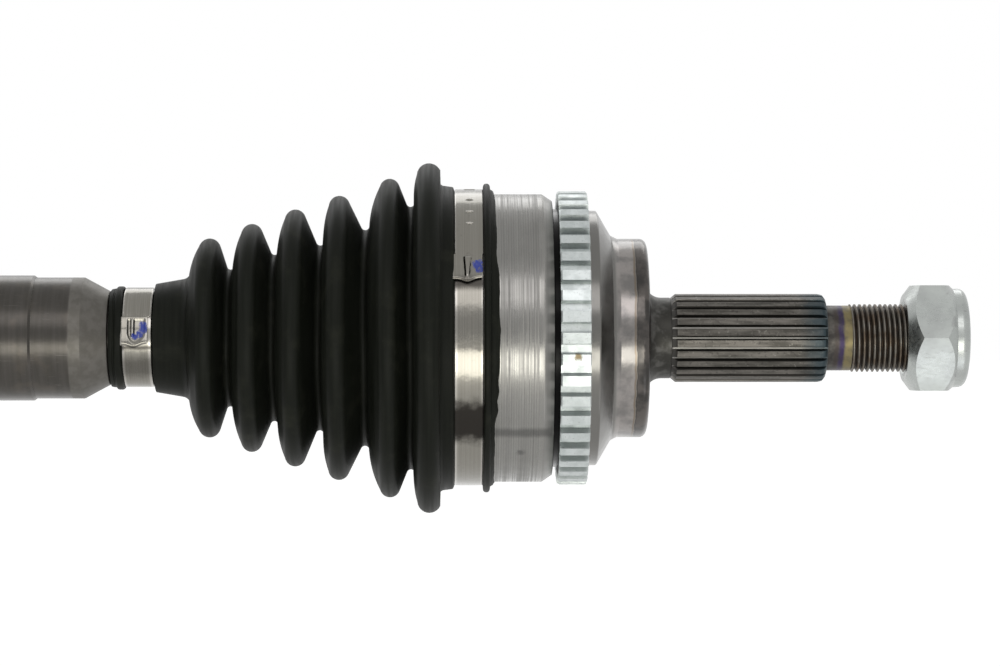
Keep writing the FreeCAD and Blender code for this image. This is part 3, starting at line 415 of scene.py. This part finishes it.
def boot_rubber():
    """Matte black rubber with faint mould marks and a little dust."""
    look = Look("boot_rubber")
    mould = look.noise(1.0, 4, look.turned(1.2, 1.4))
    colour = look.mix(look.ramp(mould, 0.3, 0.7), (0.0052, 0.0060, 0.0043), (0.0082, 0.0092, 0.0070))
    dust = look.ramp(look.noise(0.12, 6), 0.52, 0.75, 0.0, 0.6)
    colour = look.mix(dust, colour, (0.017, 0.018, 0.013))
    specks = look.ramp(look.noise(1.7, 2), 0.76, 0.79, 0.0, 0.5)
    colour = look.mix(specks, colour, (0.07, 0.07, 0.06))
    normal = look.bump(look.noise(3.0, 4), 0.012)
    normal = look.bump(mould, 0.015, normal)
    return look.done(colour, 0.0, look.ramp(mould, 0.3, 0.7, 0.44, 0.54), normal, specular=0.07)


def clamp_steel(name):
    """Bright stainless band with rolling marks, a painted highlight on its convex edges and painted shade in
    its creases. Returns the helper and its parts.
    """
    look = Look(name)
    rolled = look.noise(1.0, 4, look.turned(5.0, 0.7))
    colour = look.mix(look.ramp(rolled, 0.3, 0.7), (0.165, 0.158, 0.138), (0.208, 0.200, 0.179))
    grime = look.ramp(look.noise(0.7, 5), 0.60, 0.76, 0.0, 0.4)
    colour = look.mix(grime, colour, (0.10, 0.095, 0.082))
    edges = look.node("ShaderNodeNewGeometry").outputs["Pointiness"]
    # Painted highlight on convex edges and painted shade in concave creases, both from pointiness.
    colour = look.mix(look.ramp(edges, 0.505, 0.545, 0.0, 0.5), colour, (0.50, 0.48, 0.45))
    colour = look.mix(look.ramp(edges, 0.455, 0.495, 0.5, 0.0), colour, (0.05, 0.046, 0.040))
    normal = look.bump(rolled, 0.005)
    normal = look.bump(look.noise(0.22, 3), 0.08, normal)
    return look, colour, look.ramp(rolled, 0.3, 0.7, 0.13, 0.20), normal


def plain_clamp():
    """A clean clamp, for the gearbox end."""
    look, colour, rough, normal = clamp_steel("clamp_steel")
    return look.done(colour, 1.0, rough, normal)


def painted_clamp(name, dabs, painted_shade_strips, slot=None):
    """A clamp with painted dark reflections and a painted shadow in strips on the front, painted shade in
    the opening of its band and a scribbled mark of blue paint. slot is the X and Y of the opening in its
    band."""
    look, colour, rough, normal = clamp_steel(name)
    # Painted shade and painted reflection in strips across the front of the clamp.
    for low, high, soft, strength, tint in painted_shade_strips:
        painted_shade_strip = look.front_strip(low, high, soft, strength, 0.45 * (high - low))
        colour = look.mix(painted_shade_strip, colour, tint)
        rough = look.add(rough, look.times(painted_shade_strip, 0.2))
    if slot is not None:
        # Painted shade: the opening in the band is coloured near black.
        opening = look.between(look.x, slot[0] - 1.45, slot[0] + 1.45, 0.15)
        opening = look.times(opening, look.between(look.y, slot[1] - 1.9, slot[1] + 1.9, 0.3))
        opening = look.times(opening, look.ramp(look.z, 0, 1))
        colour = look.mix(opening, colour, (0.02, 0.018, 0.016))
    paint = look.near(dabs[0][0], dabs[0][1], 0.6)
    for point, size in dabs[1:]:
        paint = look.math("MAXIMUM", paint, look.near(point, size, 0.6))
    strokes = look.ramp(look.noise(1.0, 3, look.drawn(2.2, 0.9)), 0.38, 0.46, 0.35, 1.0)
    paint = look.times(paint, strokes)
    colour = look.mix(paint, colour, (0.012, 0.030, 0.235))
    rough = look.add(rough, look.times(paint, 0.3))
    return look.done(colour, look.ramp(paint, 0.0, 1.0, 1.0, 0.0), rough, normal)


def moulded_plastic(name, low, high):
    """Slightly cloudy plastic between two shades."""
    look = Look(name)
    cloud = look.noise(0.5, 4)
    colour = look.mix(look.ramp(cloud, 0.35, 0.65), low, high)
    return look.done(colour, 0.0, look.ramp(cloud, 0.3, 0.7, 0.4, 0.55), look.bump(look.noise(2.5, 3), 0.02))


def seen_directly(tree):
    """1 for rays that show the background: camera, glossy and transmission rays."""
    path = tree.nodes.new("ShaderNodeLightPath")
    result = path.outputs["Is Camera Ray"]
    for name in ("Is Glossy Ray", "Is Transmission Ray"):
        either = tree.nodes.new("ShaderNodeMath")
        either.operation = "MAXIMUM"
        tree.links.new(result, either.inputs[0])
        tree.links.new(path.outputs[name], either.inputs[1])
        result = either.outputs[0]
    return result


def floor_paint():
    """Pale floor that looks white, with the object's shadow kept."""
    look = Look("floor_paint")
    tone = look.mix(look.ramp(look.noise(0.002, 2), 0.3, 0.7), (0.80, 0.80, 0.80), (0.82, 0.82, 0.81))
    look.done(tone, 0.0, 0.9, look.bump(look.noise(0.05, 3), 0.05), specular=0.1)
    glow = look.node("ShaderNodeEmission")
    look.put(glow.inputs["Strength"], look.times(seen_directly(look.tree), 0.62))
    both = look.node("ShaderNodeAddShader")
    look.put(both.inputs[0], look.shader.outputs[0])
    look.put(both.inputs[1], glow.outputs[0])
    look.put(look.tree.nodes["Material Output"].inputs["Surface"], both.outputs[0])
    return look.material


# Mesh helpers

def point_at(x, radius, degrees):
    """A point in metres from millimetres along X, millimetres from it and an angle about it."""
    angle = math.radians(degrees)
    return (x * MM, radius * math.cos(angle) * MM, radius * math.sin(angle) * MM)


def add_mesh(name, vertices, faces, material, sharp_degrees=35):
    """A new object with smooth shading, creased where its faces meet at a sharp angle."""
    mesh = bpy.data.meshes.new(name)
    mesh.from_pydata(vertices, [], faces)
    mesh.validate()
    mesh.shade_smooth()
    mesh.set_sharp_from_angle(angle=math.radians(sharp_degrees))
    mesh.materials.append(material)
    made = bpy.data.objects.new(name, mesh)
    bpy.context.scene.collection.objects.link(made)
    return made


def skin(name, sections, material, closed, sharp_degrees=35):
    """A mesh over a row of cross-sections. Each is a closed loop with the same number of points."""
    size = len(sections[0])
    vertices = [point for section in sections for point in section]
    faces = []
    for i in range(len(sections) if closed else len(sections) - 1):
        ahead = (i + 1) % len(sections)
        for j in range(size):
            after = (j + 1) % size
            faces.append((i * size + j, ahead * size + j, ahead * size + after, i * size + after))
    if not closed:
        faces.append(tuple(range(size)))
        faces.append(tuple(reversed(range(len(vertices) - size, len(vertices)))))
    return add_mesh(name, vertices, faces, material, sharp_degrees)


def lathe(name, outline, material, shift):
    """A closed outline of (x, radius) turned about X. shift(x, degrees) moves each point."""
    sections = []
    for i in range(SEGMENTS):
        degrees = 360 * i / SEGMENTS
        section = []
        for x, radius in outline:
            dx, dr = shift(x, degrees)
            section.append(point_at(x + dx, radius + dr, degrees))
        sections.append(section)
    return skin(name, sections, material, True, 40)


def arc_points(centre, start, end, up, steps):
    """Points on an arc about centre from start to end, passing on the side that up points to."""
    first = math.atan2(start[1] - centre[1], start[0] - centre[0])
    last = math.atan2(end[1] - centre[1], end[0] - centre[0])
    size = math.dist(centre, start)
    sweep = (last - first) % (2 * math.pi)
    middle = first + sweep / 2
    if math.cos(middle) * up[0] + math.sin(middle) * up[1] < 0:
        sweep -= 2 * math.pi
    points = []
    for k in range(steps + 1):
        angle = first + sweep * k / steps
        points.append((centre[0] + size * math.cos(angle), centre[1] + size * math.sin(angle)))
    return points


def rounded(corners, steps=6):
    """An open outline whose corners (x, radius, rounding) are rounded off."""
    points = []
    for i, corner in enumerate(corners):
        if len(corner) == 2:
            points.append(corner)
            continue
        here = Vector(corner[:2])
        back = (Vector(corners[i - 1][:2]) - here).normalized()
        ahead = (Vector(corners[i + 1][:2]) - here).normalized()
        half = back.angle(ahead) / 2
        inward = (back + ahead).normalized()
        centre = here + inward * (corner[2] / math.sin(half))
        reach = corner[2] / math.tan(half)
        points += arc_points(centre, here + back * reach, here + ahead * reach, -inward, steps)
    return points


def belt(pegs, inset, steps=14):
    """Points of a belt over a row of pegs (x, centre radius, peg size, side), moved inward by inset."""
    centres = [Vector(peg[:2]) for peg in pegs]
    swings = [peg[3] * peg[2] - inset for peg in pegs]
    normals = []
    for i in range(len(pegs) - 1):
        gap = centres[i + 1] - centres[i]
        ahead = gap.normalized()
        outward = Vector((ahead.y, -ahead.x))
        if outward.y < 0:
            outward.negate()
        lean = (swings[i] - swings[i + 1]) / gap.length
        normals.append(ahead * lean + outward * math.sqrt(1 - lean * lean))
    points = [tuple(centres[0] + normals[0] * swings[0])]
    for i in range(1, len(normals)):
        start = centres[i] + normals[i - 1] * swings[i]
        end = centres[i] + normals[i] * swings[i]
        points += arc_points(centres[i], start, end, (0, math.copysign(1, swings[i])), steps)
    points.append(tuple(centres[-1] + normals[-1] * swings[-1]))
    return points


def fold_pegs(collar_end, neck_start, folds):
    """Pegs for a boot's wall. A fold is (share of the way, height over the straight line, size, side)."""
    pegs = [(*collar_end, 0, 1)]
    for share, height, size, side in folds:
        x = collar_end[0] + share * (neck_start[0] - collar_end[0])
        line = collar_end[1] + share * (neck_start[1] - collar_end[1])
        pegs.append((x, line + height - side * size, size, side))
    return pegs + [(*neck_start, 0, 1)]


def subdivided(points, longest, bulge=0.0):
    """The same outline with its long straight stretches divided. The flanks of the folds that face
    the gearbox swell out by bulge times their length."""
    result = [points[0]]
    for a, b in zip(points, points[1:]):
        length = math.dist(a, b)
        pieces = max(1, math.ceil(length / longest))
        falling = b[0] < a[0] and b[1] < a[1] - 4
        for k in range(1, pieces + 1):
            t = k / pieces
            swell = bulge * 4 * t * (1 - t) if falling else 0
            x = a[0] + (b[0] - a[0]) * t + swell * (b[1] - a[1])
            result.append((x, a[1] + (b[1] - a[1]) * t - swell * (b[0] - a[0])))
    return result


def bell_curve(value, middle, width):
    """1 at the middle and close to 0 two widths away."""
    return math.exp(-(((value - middle) / width) ** 2))


# Boots and the spring behind the thrust cup

BOOT_WALL = 2.2

# Folds of the boots, crests and roots by turns: share of the way along, height, size, side
OUTER_FOLDS = [
    (0.042, 10.0, 3.5, 1), (0.107, -1.0, 1.2, -1), (0.181, 9.1, 3.0, 1), (0.268, -3.6, 1.2, -1),
    (0.358, 8.8, 3.0, 1), (0.425, -3.9, 1.2, -1), (0.512, 8.9, 3.0, 1), (0.586, -2.4, 1.2, -1),
    (0.666, 8.7, 3.0, 1), (0.743, -2.6, 1.2, -1), (0.816, 8.4, 3.0, 1), (0.913, -0.9, 2.7, -1),
]
INNER_FOLDS = [
    (0.074, 5.7, 2.9, 1), (0.173, 0.8, 1.2, -1), (0.272, 9.5, 2.9, 1), (0.371, 4.6, 1.2, -1),
    (0.470, 12.3, 2.9, 1), (0.566, 6.3, 1.2, -1), (0.663, 11.9, 2.9, 1), (0.752, 2.9, 1.2, -1),
    (0.837, 8.7, 2.9, 1), (0.924, -0.2, 2.4, -1),
]
INNER_SEAM_X = -345.5
LIP_X = -45.0
LIP_REACH = 0.6

SPRING_FLOOR_END = -437.0
SPRING_LENGTH = 15.5
SPRING_FLOOR_RADIUS = 17.6
SPRING_NARROWING = 5.0
SPRING_WIRE_RADIUS = 0.9
SPRING_TURNS = 3.5
SPRING_STEPS = 168
SPRING_SIDES = 12

# Where grease has crept out past the lip: middle and spread in degrees, reach in millimetres
SMEARS = [
    (160, 10, 1.2), (176, 9, 1.2), (190, 9, 1.1), (201, 4, 0.9), (209, 3.5, 0.9), (140, 14, 0.5),
    (115, 14, 0.3), (20, 30, 0.8), (290, 18, 0.6),
]


def uneven(x, degrees, strength):
    """A slow wander that keeps the folds from looking machined."""
    angle = math.radians(degrees)
    place = Vector((x * 0.05, math.cos(angle) * 1.3, math.sin(angle) * 1.3))
    wander = noise.noise(place) * strength
    return wander, wander * 0.4


def smear(degrees):
    """How far the lip's edge reaches out over the bell, in millimetres."""
    total = 0.0
    for middle, spread, reach in SMEARS:
        away = (degrees - middle + 180) % 360 - 180
        total += reach * bell_curve(away, 0, spread)
    coarse = 0.22 * noise.noise(Vector((degrees * 0.16, 7.3, 0.0)))
    return total + coarse + 0.16 * noise.noise(Vector((degrees * 0.9, 3.1, 0.0)))


def outer_shift(x, degrees):
    """Moves the thin edge of the lip out over the bell, and leaves the collar round."""
    if x > LIP_X:
        return smear(degrees) * (x - LIP_X) / LIP_REACH, 0
    return uneven(x, degrees, 0.35) if x < -60 else (0, 0)


def inner_shift(x, degrees):
    """Lets the folds wander and leaves the collar round."""
    return uneven(x, degrees, 0.3) if x > -372 else (0, 0)


def neck_outline(start, end, direction):
    """Small collar with its clamp seat, a bead and an end ring."""
    return rounded([
        (start + 0.1 * direction, 15.9), (start + 0.5 * direction, 13.5, 0.3),
        (end - 4.1 * direction, 13.5, 0.3), (end - 3.9 * direction, 15.15, 0.8),
        (end - 1.8 * direction, 15.15, 0.8), (end - 1.5 * direction, 14.0, 0.25),
        (end - 1.2 * direction, 14.5, 0.4), (end, 14.3, 0.5), (end, 11.95), (start - 1.6 * direction, 11.95),
    ])


def outer_boot():
    """The ball joint's boot, from the lip on the bell over its folds to the neck on the bar."""
    pegs = fold_pegs((-59.6, 42.2), (-142.6, 15.8), OUTER_FOLDS)
    collar = rounded([
        (LIP_X, 42.1), (LIP_X + LIP_REACH, 42.22), (LIP_X + 0.3, 43.0, 0.3), (-45.4, 43.4, 0.4),
        (-45.6, 45.1, 0.9), (-47.4, 45.1, 0.9), (-47.6, 42.8, 0.3), (-55.7, 42.8, 0.3),
        (-56.2, 44.1, 0.5), (-59.2, 44.5, 0.3), (-59.8, 44.9),
    ])
    wall = [point for point in belt(pegs, 0.0)[1:-1] if point[0] < -59.8]
    seat = [(-60.8, 40.5), (-45.25, 40.5), (-45.2, 42.1)]
    outline = collar + wall + neck_outline(-142.6, -155.8, -1) + belt(pegs, BOOT_WALL)[-2:0:-1] + seat
    boot = lathe("outer_boot_rubber", subdivided(outline, 0.9, 0.055), RUBBER, outer_shift)
    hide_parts("outer_boot")
    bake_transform(boot)


def inner_boot():
    """The tripod's boot in two pieces that meet inside a crest."""
    pegs = fold_pegs((-374.0, 37.4), (-313.4, 15.8), INNER_FOLDS)
    outside = [point for point in belt(pegs, 0.0)[1:-1] if point[0] > -373.6]
    inside = belt(pegs, BOOT_WALL)
    collar = rounded([
        (-391.6, 35.1), (-391.6, 38.6, 0.8), (-389.4, 38.9, 0.8), (-389.1, 37.5, 0.3),
        (-380.6, 37.5, 0.3), (-380.3, 38.9, 0.8), (-374.4, 38.7, 0.3), (-373.8, 38.5),
    ])
    reach = INNER_SEAM_X - 0.2
    large = collar + [p for p in outside if p[0] <= INNER_SEAM_X]
    large += [p for p in inside if p[0] <= INNER_SEAM_X][:0:-1] + [(-376.5, 35.1)]
    small = [p for p in outside if p[0] >= reach] + neck_outline(-313.4, -299.4, 1)
    small += [p for p in inside if p[0] >= reach][-2::-1]
    large_end = lathe("inner_boot_large_end", subdivided(large, 1.5), RUBBER, inner_shift)
    small_end = lathe("inner_boot_small_end", subdivided(small, 1.5), RUBBER, inner_shift)
    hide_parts("inner_boot")
    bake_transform(large_end)
    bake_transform(small_end)


def thrust_spring(material):
    """The conical coil behind the thrust cup, built at one length. In the car it is pressed shorter as the
    joint slides in.
    """
    sections = []
    for i in range(SPRING_STEPS + 1):
        share = i / SPRING_STEPS
        turn = 2 * math.pi * SPRING_TURNS * share
        section = []
        for k in range(SPRING_SIDES):
            around = 2 * math.pi * k / SPRING_SIDES
            x = SPRING_FLOOR_END + SPRING_LENGTH * share + SPRING_WIRE_RADIUS * math.sin(around)
            reach = SPRING_FLOOR_RADIUS - SPRING_NARROWING * share + SPRING_WIRE_RADIUS * math.cos(around)
            section.append((MM * x, MM * reach * math.sin(turn), -MM * reach * math.cos(turn)))
        sections.append(section)
    coil = skin("thrust_spring_coil", sections, material, False)
    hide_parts("thrust_spring")
    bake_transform(coil)


# Clamps. The free end of each band lies over its first layer and stops at a given angle.
# Heights over the band are worked out from the distance behind that end and from its middle.

BAND_THICKNESS = 0.75
TAB_LENGTH = 8.0
PIP_PLACES = (19.7, 25.3, 32.8)
SLOT_PLACE = 46.3
LARGE_LAP = 58
SMALL_LAP = 36
LARGE_END_DEGREES = 157.6
SMALL_END_DEGREES = 187.0
TONGUE_ROOM = 0.65
TONGUE_HEIGHT = 0.42
END_LIFT = 1.05
END_LIFT_LENGTH = 4.4
RIB_HEIGHT = 0.55
CUP_DEPTH = 0.45
CUP_RIB_HEIGHT = 0.50
PIP_HEIGHT = 0.40
SLOT_DEPTH = 0.36
EDGE_STEPS = 16


def step_up(value, edge, soft):
    """0 below the edge and 1 above it, with a smooth rise."""
    t = min(1.0, max(0.0, (value - edge) / soft + 0.5))
    return t * t * (3 - 2 * t)


def rib_press(across, behind):
    """A rounded rib along the tab that narrows towards the end."""
    half = 0.6 + 0.6 * min(1.0, behind / (TAB_LENGTH - 1))
    length = step_up(behind, 1.2, 1.4) * step_up(TAB_LENGTH - 0.9 - behind, 0, 0.9)
    return RIB_HEIGHT * max(0.0, 1 - ((across + 0.1) / half) ** 2) * length


def cup_press(across, behind):
    """A hollow shaped like a U, open away from the band's end, with a rounded rib in it."""
    x = across - 0.7
    away = math.hypot(x, max(0.0, 3.6 - behind))
    open_end = step_up(TAB_LENGTH - 0.9 - behind, 0, 0.9)
    hollow = -CUP_DEPTH * step_up(2.45 - away, 0, 0.9)
    rib = CUP_RIB_HEIGHT * max(0.0, 1 - ((x + 1.1) / 0.65) ** 2) * step_up(behind, 2.6, 1.0)
    return (hollow + rib) * open_end


def pips(across, behind):
    """Small raised lips in the upper layer, and the sunk opening further back."""
    height = 0.0
    for place in PIP_PLACES:
        size = math.hypot((across - 0.1) / 1.2, (behind - place) / 0.55)
        height += PIP_HEIGHT * max(0.0, 1 - size * size)
    opening = step_up(1.5 - abs(across - 0.2), 0, 0.2) * step_up(1.9 - abs(behind - SLOT_PLACE), 0, 0.3)
    return height - SLOT_DEPTH * opening


def band_clamp(node, body, end_degrees, material, press, tab_left, tab_right):
    """A band and the tongue over it. The tongue's tab reaches past the band's edges as given."""
    low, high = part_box(node)
    start = low.x / MM
    width = (high.x - low.x) / MM
    outer = (high.y - low.y) / MM / 2 - TONGUE_ROOM
    large = outer > 30

    sections = []
    for i in range(SEGMENTS):
        degrees = 360 * i / SEGMENTS
        top = []
        for k in range(EDGE_STEPS + 1):
            x = width * k / EDGE_STEPS
            edge = min(x, width - x)
            top.append(point_at(start + x, outer - 0.15 * math.exp(-edge / 0.2), degrees))
        bottom = [point_at(x, outer - BAND_THICKNESS, degrees) for x in (start + width, start)]
        sections.append(top + bottom)
    band = skin(node + "_band", sections, material, True)
    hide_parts(node)

    per_mm = math.degrees(1 / outer)
    lap = LARGE_LAP if large else SMALL_LAP
    count = 400
    across_count = 56
    sections = []
    for i in range(count + 1):
        share = i / count
        behind = lap * (1 - share) ** 1.6
        tab = step_up(TAB_LENGTH - behind, 0, 0.5)
        left = 0.15 - tab_left * tab
        right = width - 0.1 + tab_right * tab
        lift = END_LIFT * max(0.0, 1 - behind / END_LIFT_LENGTH) ** 1.5
        tip = 0.55 * math.exp(-((behind / 0.4) ** 1.5))
        top = []
        bottom = []
        for k in range(across_count + 1):
            x = left + (right - left) * k / across_count
            across = x - (left + right) / 2
            edge = min(x - left, right - x)
            reach = (1.0 * bell_curve(across, 0, 1.9) - 0.05 * across) * max(0.0, 1 - behind / 5)
            degrees = end_degrees - (behind - reach) * per_mm
            height = TONGUE_HEIGHT + lift - tip + 0.10 * tab + press(across, behind)
            height -= 0.1 * math.exp(-edge / 0.15)
            height += pips(across, behind) if large else 0
            top.append(point_at(start + x, outer + height, degrees))
            if k in (0, across_count):
                bottom.insert(0, point_at(start + x, outer + 0.02 + 0.8 * lift, degrees))
        sections.append(top + bottom)
    tongue = skin(node + "_tongue", sections, material, False)
    for piece in (band, tongue):
        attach(piece, body)


# The whole scene

RUBBER = boot_rubber()
# Colours of painted shade and painted reflection on the front of the clamps.
PAINTED_DARK_SHADE = (0.020, 0.018, 0.016)
PAINTED_GREY_REFLECTION = (0.115, 0.112, 0.104)

# Painted dark reflections on the front of the clamps, and a painted shadow under each tab's lip: Z from and
# to, softness, strength, colour
LARGE_CLAMP_PAINTED_SHADE = [
    (-1.0, 8.0, 4.0, 0.45, PAINTED_GREY_REFLECTION), (-29.0, -18.0, 4.5, 0.97, PAINTED_DARK_SHADE), (13.9, 17.0, 2.4, 0.85, PAINTED_DARK_SHADE),
]
SMALL_CLAMP_PAINTED_SHADE = [(-11.5, -5.5, 3.5, 0.55, PAINTED_DARK_SHADE), (-3.4, -2.2, 1.2, 0.8, PAINTED_DARK_SHADE)]

# X and Y of the opening in the large clamp's band
LARGE_CLAMP_SLOT = (-51.4, -5.1)

# Dabs of paint: point and size
LARGE_CLAMP_PAINT = [((-49.2, -39.0, 21.0), 1.7), ((-48.7, -39.5, 19.6), 1.3)]
SMALL_CLAMP_PAINT = [
    ((-145.7, -14.6, 4.0), 1.3), ((-145.6, -14.9, 2.6), 1.35), ((-146.5, -15.1, 1.2), 1.1),
    ((-148.0, -15.2, 0.5), 0.9),
]


def dress_nodes():
    """Gives every CAD node its finish, and returns the finishes by slot."""
    finishes = {
        "turned_steel": stub_and_bell(),
        "zinc_plate": zinc_ring(),
        "zinc_nut": zinc_nut(),
        "shaft_steel": shaft_steel(),
        "bearing_steel": machined_steel("bearing_steel", (0.42, 0.42, 0.43), (0.52, 0.52, 0.53), 0.16),
        "spring_steel": machined_steel("spring_steel", (0.10, 0.10, 0.11), (0.16, 0.16, 0.17), 0.3),
        "boot_rubber": RUBBER,
        "clamp_steel": plain_clamp(),
        "nylon": moulded_plastic("nylon", (0.66, 0.66, 0.58), (0.54, 0.53, 0.45)),
        "cup_plastic": moulded_plastic("cup_plastic", (0.50, 0.45, 0.33), (0.42, 0.37, 0.26)),
    }
    for part in frame["record"]["subparts"]:
        mesh = NODES[part["node"]].data
        mesh.materials.clear()
        mesh.materials.append(finishes[part["material_slot"]])
    return finishes


def clamps(plain):
    """All four clamps. Only the two on the outer boot have painted shade, painted reflections and blue
    paint.
    """
    large = painted_clamp("clamp_steel_large", LARGE_CLAMP_PAINT, LARGE_CLAMP_PAINTED_SHADE, LARGE_CLAMP_SLOT)
    small = painted_clamp("clamp_steel_small", SMALL_CLAMP_PAINT, SMALL_CLAMP_PAINTED_SHADE)
    band_clamp("outer_large_clamp", "wheel_side", LARGE_END_DEGREES, large, rib_press, 0.7, -0.3)
    band_clamp("outer_small_clamp", "shaft", SMALL_END_DEGREES, small, cup_press, 0.5, -0.9)
    band_clamp("inner_large_clamp", "gearbox_side", LARGE_END_DEGREES, plain, rib_press, 0.7, -0.3)
    band_clamp("inner_small_clamp", "shaft", SMALL_END_DEGREES, plain, cup_press, 0.5, -0.9)


def lamp(name, place, aim, width, height, radiance, colour):
    """A soft rectangular lamp of a given brightness."""
    data = bpy.data.lights.new(name, "AREA")
    data.shape = "RECTANGLE"
    data.size = width
    data.size_y = height
    data.energy = radiance * math.pi * width * height
    data.color = colour
    made = bpy.data.objects.new(name, data)
    made.location = place
    made.rotation_euler = (Vector(aim) - Vector(place)).to_track_quat("-Z", "Y").to_euler()
    made.visible_camera = False
    bpy.context.scene.collection.objects.link(made)


def lights():
    """Two soft front lamps, one above and one below eye level, a low one at the nut and one behind."""
    centre = (-0.04, 0, 0)
    lamp("upper_front", (-0.035, -0.60, 0.43), centre, 0.62, 0.31, 1.8, (1.0, 0.97, 0.98))
    lamp("lower_front", (-0.035, -0.70, -0.24), centre, 0.62, 0.24, 4.8, (1.0, 0.98, 0.90))
    lamp("nut_fill", (0.15, -0.17, -0.28), (0.085, 0, 0), 0.15, 0.14, 1.0, (0.93, 0.95, 1.0))
    lamp("upper_back", (-0.2, 0.9, 0.8), (-0.2, 0, 0), 1.4, 0.5, 1.6, (1.0, 1.0, 1.0))


def surroundings():
    """A white background for the camera and in reflections, and a softer level on matte surfaces."""
    world = bpy.data.worlds.new("studio")
    bpy.context.scene.world = world
    world.use_nodes = True
    tree = world.node_tree
    strength = tree.nodes.new("ShaderNodeMapRange")
    tree.links.new(seen_directly(tree), strength.inputs["Value"])
    strength.inputs["To Min"].default_value = 0.5
    strength.inputs["To Max"].default_value = 1.0
    background = tree.nodes["Background"]
    background.inputs["Color"].default_value = (1, 1, 1, 1)
    tree.links.new(strength.outputs[0], background.inputs["Strength"])
    reach = FLOOR_REACH
    corners = [(-reach, -reach), (reach, -reach), (reach, reach), (-reach, reach)]
    corners = [(x, y, FLOOR_Z) for x, y in corners]
    add_mesh("floor", corners, [(0, 1, 2, 3)], floor_paint())


def camera():
    """The photograph's camera: square to the shaft, with the picture shifted instead of turned."""
    data = bpy.data.cameras.new("camera")
    data.sensor_width = 36
    data.lens = PIXELS_PER_MM * CAMERA_DISTANCE / IMAGE_WIDTH * data.sensor_width
    data.shift_x = (IMAGE_WIDTH / 2 - VIEW_CENTRE_COLUMN) / IMAGE_WIDTH
    made = bpy.data.objects.new("camera", data)
    side = (VIEW_CENTRE_COLUMN - HUB_FACE_COLUMN) / PIXELS_PER_MM
    above = (AXIS_ROW - IMAGE_HEIGHT / 2) / PIXELS_PER_MM
    made.location = (side * MM, -CAMERA_DISTANCE * MM, above * MM)
    made.rotation_euler = (math.radians(90), 0, 0)
    bpy.context.scene.collection.objects.link(made)
    bpy.context.scene.camera = made
    bpy.context.scene.view_settings.view_transform = "Standard"


outer_boot()
inner_boot()
finishes = dress_nodes()
clamps(finishes["clamp_steel"])
thrust_spring(finishes["spring_steel"])
lights()
surroundings()
camera()
